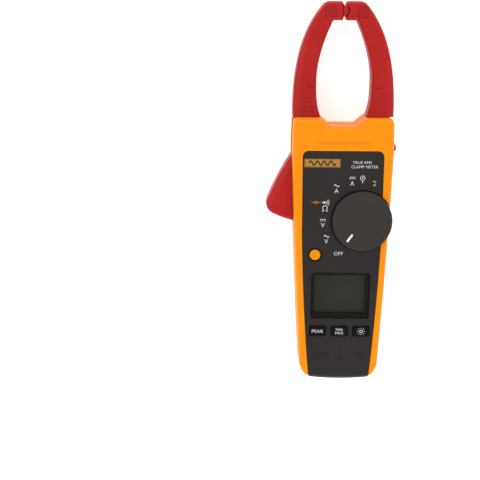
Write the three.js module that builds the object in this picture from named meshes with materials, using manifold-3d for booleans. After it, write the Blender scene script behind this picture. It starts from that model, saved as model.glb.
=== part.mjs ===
// A hand-held digital clamp meter: a two-shell case with a dark front panel, a rotary dial, a display,
// keys, and a pair of jaws of which the left one swings on a pin, worked by the trigger at its foot.
// Millimetres. +Z is the front face, +Y runs to the jaw tips, +X is to the right seen from the front.
// Every Y below is measured from the jack end. The last group shifts the meter onto its rear-face origin.

import * as THREE from 'three';
import { mergeVertices } from 'three/addons/utils/BufferGeometryUtils.js';
import Module from 'manifold-3d';

// ---- driving dimensions ----

const LENGTH = 246;             // jack end to jaw tips
const ORIGIN_Y = 100;           // the origin's place on the rear face
const GAP = 0.3;                // clearance between neighbours
const WALL = 2.4;               // case wall

const CASE_TOP = 172.8;         // where the case ends and the jaws begin
const CASE_WAIST = 32.7;        // half width at the widest place
const CASE_FOOT = 25.9;         // half width above the foot corners
const FOOT_HALF = 20.6;         // half width of the jack end
const FOOT_RISE = 1.2;          // how far the convex foot rises at its corners
const CASE_FRONT = 36;          // front face height over the rear face
const PARTING = 18;             // plane where the two case shells and the jaw shells meet
const ROOF = 32.4;              // inner face of the front wall
const SHOULDER = 4.6;           // rounding of the front edge
const REAR_ROUND = 4;           // rounding of the rear edge
const THROAT_HALF = 8.6;        // half width of the throat floor
const THROAT_FLOOR = 167.6;
const THROAT_MOUTH = 14.6;      // half width of the throat where it meets the case top

const JAW_BACK = 9.5;           // rear and front faces of the jaws
const JAW_FRONT = 26.5;
const JAW_SPLIT = 0.15;         // half the gap between the two jaw shells
const JAW_START = CASE_TOP + GAP;
const JAW_EDGE = 1.4;           // rounding of the jaw edges
const JAW_ROOT_IN = 17.6;       // inner edge of a jaw inside the case
const SLOT = 0.35;              // clearance of the case round the jaws
const PIVOT = new THREE.Vector2(-22, 153);
const TIP_BAR = 234;            // inner edge of the tips
const TONGUE_Y = 240.2;         // the left jaw's locating tongue
const TONGUE_R = 3.3;
const TIP_X = -0.9;             // face of the left jaw's tip

const PANEL_FLOOR = 34.4;       // recess that takes the panel
const PANEL_FRONT = 36.1;
const PANEL_FOOT = 19.6;        // half width where the panel folds over the jack end
const CHIN_LOW = 28.6;          // how far down the jack end it reaches
const CHIN = 1.2;               // its thickness there
const DIAL = new THREE.Vector2(12.9, 107);
const DIAL_R = 19.5;
const DIAL_WELL_R = 20.2;
const DIAL_TOP = 39.6;
const DIAL_UNDER = 35;
const SPINDLE_R = 5;
const MARKER_FLOOR = 38.5;
const MARKER_ANGLE = THREE.MathUtils.degToRad(234);
const ROTOR_R = 10.6;
const DETENTS = 7;
const DETENT_STEP = THREE.MathUtils.degToRad(160 / 6);

const SHIFT = new THREE.Vector2(-17, 84.4);
const SHIFT_R = 3.5;
const KEY_Y = 33;
const KEY_PITCH = 14.3;
const KEY_W = 10.8;
const KEY_H = 6.6;
const KEY_TOP = 36.9;
const KEY_FLANGE = 31.2;        // underside of every key and button flange
const FLANGE_T = 0.9;

const DISPLAY = { half: 19.2, low: 41.4, high: 72.5 };
const GLASS = { left: -17.6, right: 17.0, low: 44.4, high: 71 };

const BOARD_BACK = 27;
const BOARD_FRONT = 28.4;

const CELL_R = 7.1;             // two AA cells
const CELL_LENGTH = 50.3;
const CELL_X = 7.9;
const CELL_Z = 9.3;
const CELL_START = 28.4;
const BAY = { half: 15.8, low: 24.6, high: 80.2, top: 17 };
const DOOR = { half: 21, low: 18, high: 92, t: 1.5 };
const DOOR_SCREW_Y = 86;

const JACK_X = 11.2;
const JACK_Z = 20;
const JACK_MOUTH_R = 4.6;
const JACK_MOUTH_DEPTH = 10;
const JACK_BLOCK_DEPTH = 22;
const BLOCK_HALF = 19.2;

const SCREWS = [[-24, 97.5], [24, 97.5], [-21.6, 13], [21.6, 13], [24, 161]];
const BOSS_R = 3.6;
const SCREW_R = 1.3;

const HOLD = { low: 137.4, high: 149.4, back: 14, front: 22, out: 33.7 };
const BARRIER = { low: 150.9, high: 158.9, out: 34.6 };

// ---- finishes ----

const FINISH = {
  orange: [0xff9604, 0.55, 0],
  red: [0xb4232a, 0.5, 0],
  panel: [0x302c2d, 0.6, 0],
  knob: [0x383330, 0.55, 0],
  white: [0xece8dd, 0.5, 0],
  amber: [0xc39b3c, 0.45, 0],
  glass: [0x9aa39a, 0.1, 0],
  lcd: [0x34342a, 0.3, 0],
  black: [0x1b1a1b, 0.6, 0],
  rubber: [0x242426, 0.9, 0],
  board: [0x1f5a33, 0.6, 0],
  copper: [0xb4693a, 0.4, 0.9],
  brass: [0xc9a24a, 0.3, 1],
  steel: [0xb9bcc0, 0.3, 1],
  iron: [0x5c5f63, 0.5, 0.8],
  cell: [0x6b7178, 0.4, 0.5],
};

// ---- solids ----

const wasm = await Module();
wasm.setup();

function toSolid(geometry) {
  geometry.deleteAttribute('normal');
  geometry.deleteAttribute('uv');
  const merged = mergeVertices(geometry, 1e-4);
  const vertProperties = new Float32Array(merged.attributes.position.array);
  const triVerts = new Uint32Array(merged.index.array);
  return new wasm.Manifold(new wasm.Mesh({ numProp: 3, vertProperties, triVerts }));
}

function toGeometry(solid) {
  const mesh = solid.getMesh();
  const geometry = new THREE.BufferGeometry();
  geometry.setAttribute('position', new THREE.BufferAttribute(mesh.vertProperties, 3));
  geometry.setIndex(new THREE.BufferAttribute(mesh.triVerts, 1));
  geometry.computeVertexNormals();
  return geometry;
}

const joined = (first, ...rest) => rest.reduce((sum, item) => sum.add(item), first);
const cut = (first, ...rest) => rest.reduce((sum, item) => sum.subtract(item), first);

// A block between two corners.
function block(x0, x1, y0, y1, z0, z1) {
  const box = new THREE.BoxGeometry(x1 - x0, y1 - y0, z1 - z0);
  return toSolid(box.translate((x0 + x1) / 2, (y0 + y1) / 2, (z0 + z1) / 2));
}

// A flat plate of a closed outline, from z0 to z1.
function plate(points, z0, z1) {
  return toSolid(new THREE.ExtrudeGeometry(new THREE.Shape(points), {
    depth: z1 - z0, bevelEnabled: false,
  }).translate(0, 0, z0));
}

// A closed body through insets of one outline, each at its own height, from the lowest up.
// Both ends take the outline's own triangles, so that every edge meets its neighbour.
function loft(points, heights) {
  const rings = heights.map(({ by, z }) => ({ points: inset(points, by), z }));
  const count = points.length;
  const position = rings.flatMap((ring) => ring.points.flatMap((p) => [p.x, p.y, ring.z]));
  const index = [];
  for (let r = 0; r + 1 < rings.length; r += 1) {
    for (let i = 0; i < count; i += 1) {
      const a = r * count + i;
      const b = r * count + (i + 1) % count;
      index.push(a, b, b + count, a, b + count, a + count);
    }
  }
  const top = (rings.length - 1) * count;
  THREE.ShapeUtils.triangulateShape(points, []).forEach(([a, b, c]) => {
    index.push(c, b, a, top + a, top + b, top + c);
  });
  const geometry = new THREE.BufferGeometry();
  geometry.setAttribute('position', new THREE.Float32BufferAttribute(position, 3));
  geometry.setIndex(index);
  return toSolid(geometry);
}

// A plate whose two edges are rounded: `drop` along Z and `run` across, in `steps` facets.
function pillow(points, z0, z1, drop, run, steps) {
  const arc = Array.from({ length: steps + 1 }, (_, i) => (i / steps) * Math.PI / 2);
  const lower = arc.map((t) => ({ by: run * (1 - Math.sin(t)), z: z0 + drop * (1 - Math.cos(t)) }));
  const upper = arc.map((t) => ({ by: run * (1 - Math.cos(t)), z: z1 - drop * (1 - Math.sin(t)) }));
  return loft(points, [...lower, ...upper]);
}

// A disc or peg along Z, or along another axis when it is turned.
function peg(x, y, z0, z1, radius, sides = 24) {
  return toSolid(new THREE.CylinderGeometry(radius, radius, z1 - z0, sides)
    .rotateX(Math.PI / 2).translate(x, y, (z0 + z1) / 2));
}

function pegAlongY(x, z, y0, y1, radius, sides = 24) {
  return toSolid(new THREE.CylinderGeometry(radius, radius, y1 - y0, sides).translate(x, (y0 + y1) / 2, z));
}

// A turned piece: profile points are [radius, height], and height runs along Z.
function turned(x, y, profile, sides = 36) {
  const points = profile.map(([r, h]) => new THREE.Vector2(r, h));
  return toSolid(new THREE.LatheGeometry(points, sides).rotateX(Math.PI / 2).translate(x, y, 0));
}

// ---- outlines ----

const mirrored = (points) => points.map((p) => new THREE.Vector2(-p.x, p.y)).reverse();

// A closed outline moved inwards by `by`, corner by corner; points run counter-clockwise.
function inset(points, by) {
  return points.map((here, i) => {
    const before = points[(i + points.length - 1) % points.length];
    const after = points[(i + 1) % points.length];
    const a = here.clone().sub(before).normalize();
    const b = after.clone().sub(here).normalize();
    const normal = new THREE.Vector2(-(a.y + b.y), a.x + b.x).normalize();
    const square = new THREE.Vector2(-a.y, a.x);
    return here.clone().addScaledVector(normal, by / Math.max(normal.dot(square), 0.5));
  });
}

function outlineOf(draw, divisions) {
  const shape = new THREE.Shape();
  draw(shape);
  const points = shape.getPoints(divisions);
  return points.filter((p, i) => p.distanceTo(points[(i + points.length - 1) % points.length]) > 1e-3);
}

function roundedRect(x0, x1, y0, y1, r, divisions = 4) {
  return outlineOf((s) => {
    s.moveTo(x0 + r, y0);
    s.lineTo(x1 - r, y0);
    s.absarc(x1 - r, y0 + r, r, -Math.PI / 2, 0);
    s.lineTo(x1, y1 - r);
    s.absarc(x1 - r, y1 - r, r, 0, Math.PI / 2);
    s.lineTo(x0 + r, y1);
    s.absarc(x0 + r, y1 - r, r, Math.PI / 2, Math.PI);
    s.lineTo(x0, y0 + r);
    s.absarc(x0 + r, y0 + r, r, Math.PI, Math.PI * 1.5);
  }, divisions);
}

// The case seen from the front: a convex foot, sides that widen to the shoulders, and the throat.
function caseOutline() {
  const corner = 3.2;
  const side = CASE_WAIST - 0.3;
  return outlineOf((s) => {
    s.moveTo(-FOOT_HALF, FOOT_RISE);
    s.quadraticCurveTo(0, -FOOT_RISE, FOOT_HALF, FOOT_RISE);
    s.quadraticCurveTo(FOOT_HALF + 3.6, 2.8, CASE_FOOT, 9);
    s.quadraticCurveTo(30.2, 78, CASE_WAIST, 152);
    s.lineTo(side, CASE_TOP - corner);
    s.absarc(side - corner, CASE_TOP - corner, corner, 0, Math.PI / 2);
    s.lineTo(THROAT_MOUTH, CASE_TOP);
    s.lineTo(THROAT_HALF, THROAT_FLOOR);
    s.lineTo(-THROAT_HALF, THROAT_FLOOR);
    s.lineTo(-THROAT_MOUTH, CASE_TOP);
    s.absarc(corner - side, CASE_TOP - corner, corner, Math.PI / 2, Math.PI);
    s.lineTo(-CASE_WAIST, 152);
    s.quadraticCurveTo(-30.2, 78, -CASE_FOOT, 9);
    s.quadraticCurveTo(-FOOT_HALF - 3.6, 2.8, -FOOT_HALF, FOOT_RISE);
  }, 4);
}

// How far the convex foot has risen at `x` from the centre line.
const footRise = (x) => FOOT_RISE * (x / FOOT_HALF) ** 2;

function panelOutline() {
  const top = 152;
  const corner = 4;
  const half = 25.8;
  return outlineOf((s) => {
    s.moveTo(-PANEL_FOOT, footRise(PANEL_FOOT));
    s.quadraticCurveTo(0, -footRise(PANEL_FOOT), PANEL_FOOT, footRise(PANEL_FOOT));
    s.quadraticCurveTo(23.6, 42, half - 0.3, 96);
    s.lineTo(half, top - corner);
    s.quadraticCurveTo(half, top, half - corner, top);
    s.lineTo(corner - half, top);
    s.quadraticCurveTo(-half, top, -half, top - corner);
    s.lineTo(0.3 - half, 96);
    s.quadraticCurveTo(-23.6, 42, -PANEL_FOOT, footRise(PANEL_FOOT));
  }, 5);
}

const OUTER_EDGE = new THREE.CubicBezierCurve(new THREE.Vector2(32.5, JAW_START), new THREE.Vector2(33, 202),
  new THREE.Vector2(28.6, 226), new THREE.Vector2(14.6, 243.2));
const INNER_UPPER = new THREE.CubicBezierCurve(new THREE.Vector2(8.6, 232), new THREE.Vector2(12.4, 223.5),
  new THREE.Vector2(17.8, 209), new THREE.Vector2(17.6, 196));
const INNER_LOWER = new THREE.CubicBezierCurve(new THREE.Vector2(17.6, 196), new THREE.Vector2(17.6, 188),
  new THREE.Vector2(17.6, 180.5), new THREE.Vector2(THROAT_MOUTH, JAW_START));

// The plain band of a jaw, for what lies inside it; `face` is where the band stops at the tip.
function bandOutline(face, by) {
  const tip = [[10.6, LENGTH], [face - by, LENGTH], [face - by, TIP_BAR], [7.8, TIP_BAR]];
  return inset([
    ...OUTER_EDGE.getPoints(9),
    ...tip.map(([x, y]) => new THREE.Vector2(x, y)),
    ...INNER_UPPER.getPoints(6),
    ...INNER_LOWER.getPoints(5).slice(1),
  ], by);
}

// One jaw as drawn on the right side, from the case top to the tip. `face` is where its tip face stands.
function drawJaw(s, face) {
  s.moveTo(OUTER_EDGE.v0.x, OUTER_EDGE.v0.y);
  s.curves.push(OUTER_EDGE);
  s.currentPoint.copy(OUTER_EDGE.v3);
  s.quadraticCurveTo(12.2, LENGTH, 9.8, LENGTH);
  s.lineTo(face + 1.2, LENGTH);
  s.lineTo(face, TONGUE_Y + 3.4);
  s.lineTo(face, TONGUE_Y - 3.8);
  s.lineTo(face + 0.9, TIP_BAR);
  s.lineTo(7.4, TIP_BAR);
  s.quadraticCurveTo(8.2, 233.4, 8.6, 232);
  s.curves.push(INNER_UPPER, INNER_LOWER);
  s.currentPoint.copy(INNER_LOWER.v3);
}

// The fixed jaw, with a root that stops inside the case.
function rightJawOutline() {
  return outlineOf((s) => {
    drawJaw(s, 0.3);
    s.lineTo(JAW_ROOT_IN, JAW_START);
    s.lineTo(JAW_ROOT_IN, 152.5);
    s.lineTo(29.6, 152.5);
    s.lineTo(29.6, JAW_START);
  }, 7);
}

// The swinging jaw, which goes on below its pivot as the trigger lever.
function leftJawOutline() {
  return mirrored(outlineOf((s) => {
    drawJaw(s, -TIP_X);
    s.lineTo(JAW_ROOT_IN, JAW_START);
    s.lineTo(JAW_ROOT_IN, 164.5);
    s.quadraticCurveTo(12.6, 158, 13.2, 150);
    s.quadraticCurveTo(20, 128, 26.4, 105.6);
    s.lineTo(30.8, 104.7);
    s.quadraticCurveTo(39, 106.6, 45.2, 109.9);
    s.quadraticCurveTo(49.6, 112.6, 48.7, 117.5);
    s.quadraticCurveTo(42.5, 133.6, 32.2, 149.6);
    s.lineTo(31.8, JAW_START);
  }, 6));
}

// ---- case ----

const KEYS = [
  { name: 'key_peak', x: -KEY_PITCH },
  { name: 'key_min_max', x: 0 },
  { name: 'key_light', x: KEY_PITCH },
];
const CASE = caseOutline();
const CAVITY = inset(CASE, WALL);
const SLOT_BACK = JAW_BACK - SLOT;
const SLOT_FRONT = JAW_FRONT + SLOT;

// Openings that both shells share: the jaw roots, the trigger slot, the hold button and the jack end.
function sharedOpenings() {
  return joined(
    block(-45, -JAW_ROOT_IN + SLOT, 103.6, 180, SLOT_BACK, SLOT_FRONT),
    block(JAW_ROOT_IN - SLOT, 45, CASE_TOP - 4, 180, SLOT_BACK, SLOT_FRONT),
    block(28, 45, BARRIER.low - GAP, BARRIER.high + GAP, SLOT_BACK, SLOT_FRONT),
    block(28, 45, HOLD.low - GAP, HOLD.high + GAP, HOLD.back - GAP, HOLD.front + GAP),
    block(-BLOCK_HALF - GAP, BLOCK_HALF + GAP, -5, 6, JACK_Z - 8.3, JACK_Z + 8.3),
  );
}

function frontCase() {
  const upper = block(-60, 60, -10, 190, PARTING + JAW_SPLIT, CASE_FRONT + 1);
  const shell = pillow(CASE, PARTING - SHOULDER - 2, CASE_FRONT, SHOULDER, 2.6, 3).intersect(upper);
  const bosses = SCREWS.map(([x, y]) => peg(x, y, PARTING + JAW_SPLIT, ROOF + 0.5, BOSS_R, 12));
  const pilots = SCREWS.map(([x, y]) => peg(x, y, PARTING - 1, 30.5, SCREW_R + GAP, 8));
  const pivotBoss = peg(PIVOT.x, PIVOT.y, SLOT_FRONT, ROOF + 0.5, 4.6, 20);
  const keyHoles = KEYS.map(({ x }) => plate(keyOutline(x, GAP), ROOF - 1, 40));
  return cut(
    joined(cut(shell, plate(CAVITY, PARTING - 1, ROOF)), ...bosses, pivotBoss),
    sharedOpenings(), ...pilots, ...keyHoles,
    plate(inset(panelOutline(), -GAP), PANEL_FLOOR, 40),
    footSkin(CHIN + GAP, PANEL_FOOT + GAP, CHIN_LOW - GAP, 40),
    peg(DIAL.x, DIAL.y, PANEL_FLOOR, 50, DIAL_WELL_R, 36),
    peg(DIAL.x, DIAL.y, ROOF - 1, 40, SPINDLE_R + 0.4, 20),
    peg(SHIFT.x, SHIFT.y, ROOF - 1, 40, SHIFT_R + GAP, 20),
    plate(roundedRect(GLASS.left, GLASS.right, GLASS.low, GLASS.high, 1.5, 2), ROOF - 1, 40),
    peg(PIVOT.x, PIVOT.y, SLOT_FRONT - 1, 31.6, 2 + GAP, 16),
  );
}

function rearCase() {
  const lower = block(-60, 60, -10, 190, -1, PARTING - JAW_SPLIT);
  const shell = pillow(CASE, 0, PARTING + REAR_ROUND + 4, REAR_ROUND, 2.6, 3).intersect(lower);
  const bosses = SCREWS.map(([x, y]) => peg(x, y, WALL - 0.5, PARTING - JAW_SPLIT, BOSS_R + 0.8, 12));
  const bores = SCREWS.map(([x, y]) => peg(x, y, -1, PARTING + 1, SCREW_R + GAP, 8));
  const sinks = SCREWS.map(([x, y]) => peg(x, y, -1, 3.4, 3.1, 14));
  const pivotBoss = peg(PIVOT.x, PIVOT.y, WALL - 0.5, SLOT_BACK, 4.6, 20);
  const doorBoss = peg(0, DOOR_SCREW_Y, WALL - 0.5, 9, 4, 16);
  return cut(
    joined(cut(shell, plate(CAVITY, WALL, PARTING + 1)), ...bosses, pivotBoss, doorBoss),
    sharedOpenings(), ...bores, ...sinks,
    plate(roundedRect(-DOOR.half - GAP, DOOR.half + GAP, DOOR.low - GAP, DOOR.high + GAP, 3), -1, DOOR.t + GAP),
    block(-17.6, 17.6, 23, 81.8, -1, WALL + 1),
    peg(0, DOOR_SCREW_Y, -1, 8, SCREW_R + GAP, 12),
    peg(PIVOT.x, PIVOT.y, 2.6, SLOT_BACK + 1, 2 + GAP, 16),
  );
}

function batteryDoor() {
  const cover = plate(roundedRect(-DOOR.half, DOOR.half, DOOR.low, DOOR.high, 3 - GAP), 0, DOOR.t);
  return cut(cover, peg(0, DOOR_SCREW_Y, -1, 3, SCREW_R + GAP, 12), peg(0, DOOR_SCREW_Y, -1, 0.9, 3, 14));
}

// A cross-recess screw whose head faces the rear.
function screw(x, y, headZ, headHeight, tipZ) {
  const under = headZ + headHeight;
  const recess = headZ + headHeight * 0.55;
  const body = turned(x, y, [[0, headZ], [2.3, headZ], [2.7, headZ + 0.3], [2.7, under], [SCREW_R, under],
    [SCREW_R, tipZ - 0.8], [0.4, tipZ], [0, tipZ]], 12);
  return cut(body, block(x - 1.6, x + 1.6, y - 0.3, y + 0.3, headZ - 1, recess),
    block(x - 0.3, x + 0.3, y - 1.6, y + 1.6, headZ - 1, recess));
}

// ---- front face ----

function keyOutline(x, grow) {
  const half = KEY_W / 2 + grow;
  const tall = KEY_H / 2 + grow;
  return roundedRect(x - half, x + half, KEY_Y - tall, KEY_Y + tall, 1.3 + grow, 3);
}

// A skin of the case's jack end, `depth` thick and `half` wide each way, from z0 up.
function footSkin(depth, half, z0, z1) {
  return cut(plate(CASE, z0, z1), plate(inset(CASE, depth), z0 - 1, z1 + 1)).intersect(block(-half, half, -3, 5, 0, 50));
}

function frontPanel() {
  const keyHoles = KEYS.map(({ x }) => plate(keyOutline(x, GAP), 30, 40));
  const chin = footSkin(CHIN, PANEL_FOOT, CHIN_LOW, PANEL_FLOOR + 2 * GAP);
  const face = joined(plate(panelOutline(), PANEL_FLOOR + GAP, PANEL_FRONT), chin);
  return cut(
    face.intersect(pillow(CASE, 10, PANEL_FRONT, 1.6, 1.6, 2)),
    ...keyHoles,
    peg(DIAL.x, DIAL.y, 30, 50, DIAL_WELL_R, 36),
    peg(SHIFT.x, SHIFT.y, 30, 40, SHIFT_R + GAP, 20),
    plate(roundedRect(-DISPLAY.half, DISPLAY.half, DISPLAY.low, DISPLAY.high, 1.8, 3), 30, 40),
  );
}

function badgePlate() {
  return plate(roundedRect(-24.9, -1.9, 141.8, 147.2, 0.5, 1), PANEL_FRONT + 0.05, PANEL_FRONT + 0.35);
}

function displayWindow() {
  const half = DISPLAY.half - 0.35;
  const outline = roundedRect(-half, half, DISPLAY.low + 0.35, DISPLAY.high - 0.35, 1.5, 3);
  return plate(outline, PANEL_FLOOR + GAP, PANEL_FLOOR + 0.9);
}

// A block as large as the visible glass, grown by `by` on every side.
function glassBlock(by, z0, z1) {
  return block(GLASS.left - by, GLASS.right + by, GLASS.low - by, GLASS.high + by, z0, z1);
}

const lcdHolder = () => cut(glassBlock(2, BOARD_FRONT + GAP, ROOF - GAP), glassBlock(0.5, 20, 40));
const lcdGlass = () => glassBlock(0.2, 30.4, 31.6);
const lcdBacklight = () => glassBlock(0, BOARD_FRONT + GAP, 30.1);

function key(x) {
  const cap = plate(keyOutline(x, 0), KEY_FLANGE + FLANGE_T - 0.2, KEY_TOP);
  return joined(cap, block(x - 6.4, x + 6.4, KEY_Y - 4.2, KEY_Y + 4.2, KEY_FLANGE, KEY_FLANGE + FLANGE_T));
}

const keypad = () => block(-22.4, 22.4, KEY_Y - 5.4, KEY_Y + 5.4, BOARD_FRONT + GAP, 30);

function shiftButton() {
  const flangeTop = KEY_FLANGE + FLANGE_T;
  return turned(SHIFT.x, SHIFT.y, [
    [0, KEY_FLANGE], [4.5, KEY_FLANGE], [4.5, flangeTop],
    [SHIFT_R, flangeTop], [SHIFT_R, KEY_TOP - 0.5], [SHIFT_R - 0.6, KEY_TOP], [0, KEY_TOP],
  ], 20);
}

// ---- dial ----

function dialKnob() {
  const top = DIAL_TOP - 0.1;
  const sealRoof = DIAL_UNDER + 0.9;
  const body = turned(DIAL.x, DIAL.y, [
    [0, 29], [3.2, 29], [SPINDLE_R, 29.6], [SPINDLE_R, DIAL_UNDER], [5.9, DIAL_UNDER],
    [5.9, sealRoof], [8.6, sealRoof], [8.6, DIAL_UNDER], [DIAL_R, DIAL_UNDER],
    [DIAL_R, top - 2.1], [DIAL_R - 0.5, top - 0.7], [DIAL_R - 1.6, top], [0, top],
  ], 40);
  return cut(body, plate(markerOutline(0), MARKER_FLOOR, DIAL_TOP + 1));
}

function markerOutline(grow) {
  const along = new THREE.Vector2(Math.cos(MARKER_ANGLE), Math.sin(MARKER_ANGLE));
  const across = new THREE.Vector2(-along.y, along.x).multiplyScalar(0.8 + grow);
  const start = DIAL.clone().addScaledVector(along, 10.6 - grow);
  const end = DIAL.clone().addScaledVector(along, 16.3 + grow);
  return [
    start.clone().sub(across),
    end.clone().sub(across),
    end.clone().add(across),
    start.clone().add(across),
  ];
}

const dialMarker = () => plate(markerOutline(-0.2), MARKER_FLOOR + 0.3, DIAL_TOP);

// The contact wheel under the case roof, notched for the detent.
function dialRotor() {
  const wheel = peg(DIAL.x, DIAL.y, 29.7, 31.8, ROTOR_R, 32);
  const notches = Array.from({ length: DETENTS }, (_, i) => {
    const angle = Math.PI / 2 + i * DETENT_STEP;
    const reach = ROTOR_R + 0.4;
    return peg(DIAL.x + reach * Math.cos(angle), DIAL.y + reach * Math.sin(angle), 29, 33, 1.1, 10);
  });
  return cut(wheel, peg(DIAL.x, DIAL.y, 29, 33, SPINDLE_R + GAP, 24), ...notches);
}

const dialWiper = () => cut(peg(DIAL.x, DIAL.y, 28.7, 29.35, 10.4, 24), peg(DIAL.x, DIAL.y, 28, 30, 8.2, 24));

const dialSeal = () => toSolid(new THREE.TorusGeometry(7.25, 0.5, 6, 24)
  .translate(DIAL.x, DIAL.y, PANEL_FLOOR + 0.85));

function detentSpring() {
  const nose = peg(DIAL.x, DIAL.y + ROTOR_R + 1.5, 29.8, 31.6, 1.1, 12);
  return joined(nose, block(DIAL.x - 9, DIAL.x + 9, DIAL.y + ROTOR_R + 2, DIAL.y + ROTOR_R + 2.5, 29.8, 31.6));
}

// ---- electronics and supply ----

function mainBoard() {
  const edge = inset(CASE, WALL + 0.6);
  const body = plate(edge, BOARD_BACK, BOARD_FRONT).intersect(block(-40, 40, 24, 142.5, 20, 40));
  return cut(body, peg(DIAL.x, DIAL.y, 20, 40, 6, 20),
    ...SCREWS.map(([x, y]) => peg(x, y, 20, 40, BOSS_R + 0.5, 16)));
}

const buzzer = () => cut(peg(-14, 130, BOARD_FRONT + GAP, 31.8, 6, 24), peg(-14, 130, 31, 33, 1, 10));

// One AA cell along Y; `way` is 1 when its positive end points to the jaws.
function cell(x, way) {
  const profile = [
    [0, 0], [5.5, 0], [CELL_R, 0.6], [CELL_R, 48.4], [6.4, 49.1], [2.7, 49.1], [2.7, CELL_LENGTH], [0, CELL_LENGTH],
  ].map(([r, h]) => new THREE.Vector2(r, h));
  const geometry = new THREE.LatheGeometry(profile, 20);
  const start = way > 0 ? CELL_START : BAY.low + BAY.high - CELL_START;
  if (way < 0) geometry.rotateZ(Math.PI);
  return toSolid(geometry.translate(x, start, CELL_Z));
}

function batteryHolder() {
  const tub = block(-BAY.half - 1.2, BAY.half + 1.2, BAY.low - 1.2, BAY.high + 1.2, WALL + 1.5, BAY.top + 0.7);
  return cut(tub, block(-BAY.half, BAY.half, BAY.low, BAY.high, 0, BAY.top));
}

// A conical contact for a negative end, and a flat one for a positive end.
function contactCone(x, way) {
  const profile = [[0, 0], [4.6, 0], [4.6, 0.4], [2.2, 2.9], [1.6, 2.9], [0, 2.9]]
    .map(([r, h]) => new THREE.Vector2(r, h));
  const geometry = new THREE.LatheGeometry(profile, 20);
  if (way < 0) geometry.rotateZ(Math.PI);
  return toSolid(geometry.translate(x, way > 0 ? BAY.low + GAP : BAY.high - GAP, CELL_Z));
}

function contactPlate(x, way) {
  const y = way > 0 ? BAY.high - GAP : BAY.low + GAP;
  return block(x - 5, x + 5, Math.min(y, y - way * 0.5), Math.max(y, y - way * 0.5), 5, 14);
}

function jackBlock() {
  const body = joined(
    block(-BLOCK_HALF, BLOCK_HALF, 1.9, 5.8, JACK_Z - 8, JACK_Z + 8),
    block(-16.8, 16.8, 5.7, JACK_BLOCK_DEPTH, JACK_Z - 6, JACK_Z + 6),
  );
  const mouths = [-JACK_X, JACK_X].map((x) => pegAlongY(x, JACK_Z, -2, JACK_MOUTH_DEPTH, JACK_MOUTH_R));
  const seats = [-JACK_X, JACK_X].map((x) => pegAlongY(x, JACK_Z, 0, 30, 3.2));
  return cut(body, ...mouths, ...seats, block(-5.2, 5.2, -2, 12, JACK_Z - 2.9, JACK_Z + 2.9));
}

const jackTube = (x) => cut(pegAlongY(x, JACK_Z, 9, 23.4, 2.9), pegAlongY(x, JACK_Z, 8, 20, 2.05, 16));

function probeSocket() {
  const shell = block(-4.8, 4.8, 7.5, 11.7, JACK_Z - 2.5, JACK_Z + 2.5);
  return cut(shell, block(-4, 4, 5, 10.5, JACK_Z - 1.7, JACK_Z + 1.7));
}

// ---- jaws ----

// What the two shells of a jaw share: the pocket between them, and the places where pins go through.
function jawShell(points, z0, z1, pocketLow, holes) {
  const full = pillow(points, JAW_BACK, JAW_FRONT, JAW_EDGE, JAW_EDGE, 2);
  const half = full.intersect(block(-80, 80, 90, 260, z0, z1));
  const pocket = plate(inset(points, 2), 12, 24).intersect(block(-80, 80, pocketLow, 243, 0, 40));
  return cut(half, pocket, ...holes);
}

// The laminated core, drawn on the right side; the left one is its mirror.
function jawCore(face, side) {
  const band = bandOutline(face, 4.4);
  return plate(side > 0 ? band : mirrored(band), 13.4, 22.6);
}

// A winding round the foot of the core.
function jawCoil(side) {
  const [outer, inner] = [2.3, 4.1].map((by) => bandOutline(6, by)).map((band) => (side > 0 ? band : mirrored(band)));
  return cut(plate(outer, 12.3, 23.7), plate(inner, 13.1, 22.9)).intersect(block(-80, 80, 181, 205, 0, 40));
}

const LEFT = leftJawOutline();
const RIGHT = rightJawOutline();
const tongue = () => peg(TIP_X - 0.4, TONGUE_Y, JAW_BACK + 2, JAW_FRONT - 2, TONGUE_R, 24);
const tonguePocket = () => peg(TIP_X - 0.4, TONGUE_Y, 0, 40, TONGUE_R + 0.7, 28);

function leftShell(z0, z1) {
  const pivotBore = peg(PIVOT.x, PIVOT.y, 0, 40, 3.9, 20);
  const springRoom = peg(PIVOT.x, PIVOT.y, 12, 24, 6.6, 28);
  const nib = tongue().intersect(block(-1.3, 4, 230, 246, z0, z1));
  return joined(jawShell(LEFT, z0, z1, 176, [pivotBore, springRoom]), nib);
}

function rightShell(z0, z1) {
  const [x, y] = SCREWS[SCREWS.length - 1];
  return jawShell(RIGHT, z0, z1, 176, [tonguePocket(), peg(x, y, 0, 40, BOSS_R + 0.8 + GAP, 16)]);
}

class CoilPath extends THREE.Curve {
  getPoint(t) {
    const turns = 4;
    const angle = 2 * Math.PI * turns * t;
    return new THREE.Vector3(PIVOT.x + 5.1 * Math.cos(angle), PIVOT.y + 5.1 * Math.sin(angle), 14 + 8 * t);
  }
}

function jawSpring() {
  const wire = new THREE.Shape(new THREE.EllipseCurve(0, 0, 0.6, 0.6, 0, 2 * Math.PI).getPoints(6).slice(0, 6));
  return toSolid(new THREE.ExtrudeGeometry(wire, { steps: 40, extrudePath: new CoilPath(), bevelEnabled: false }));
}

const jawBush = () => cut(peg(PIVOT.x, PIVOT.y, 9.8, 26.2, 3.6, 20), peg(PIVOT.x, PIVOT.y, 9, 27, 2.3, 16));
const pivotPin = () => peg(PIVOT.x, PIVOT.y, 3, 31.2, 2, 20);

function holdButton() {
  return joined(
    block(28.6, HOLD.out, HOLD.low, HOLD.high, HOLD.back, HOLD.front),
    block(28, 29.4, HOLD.low - 1.5, HOLD.high + 1.5, HOLD.back - 1.5, HOLD.front + 1.5),
  );
}

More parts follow.
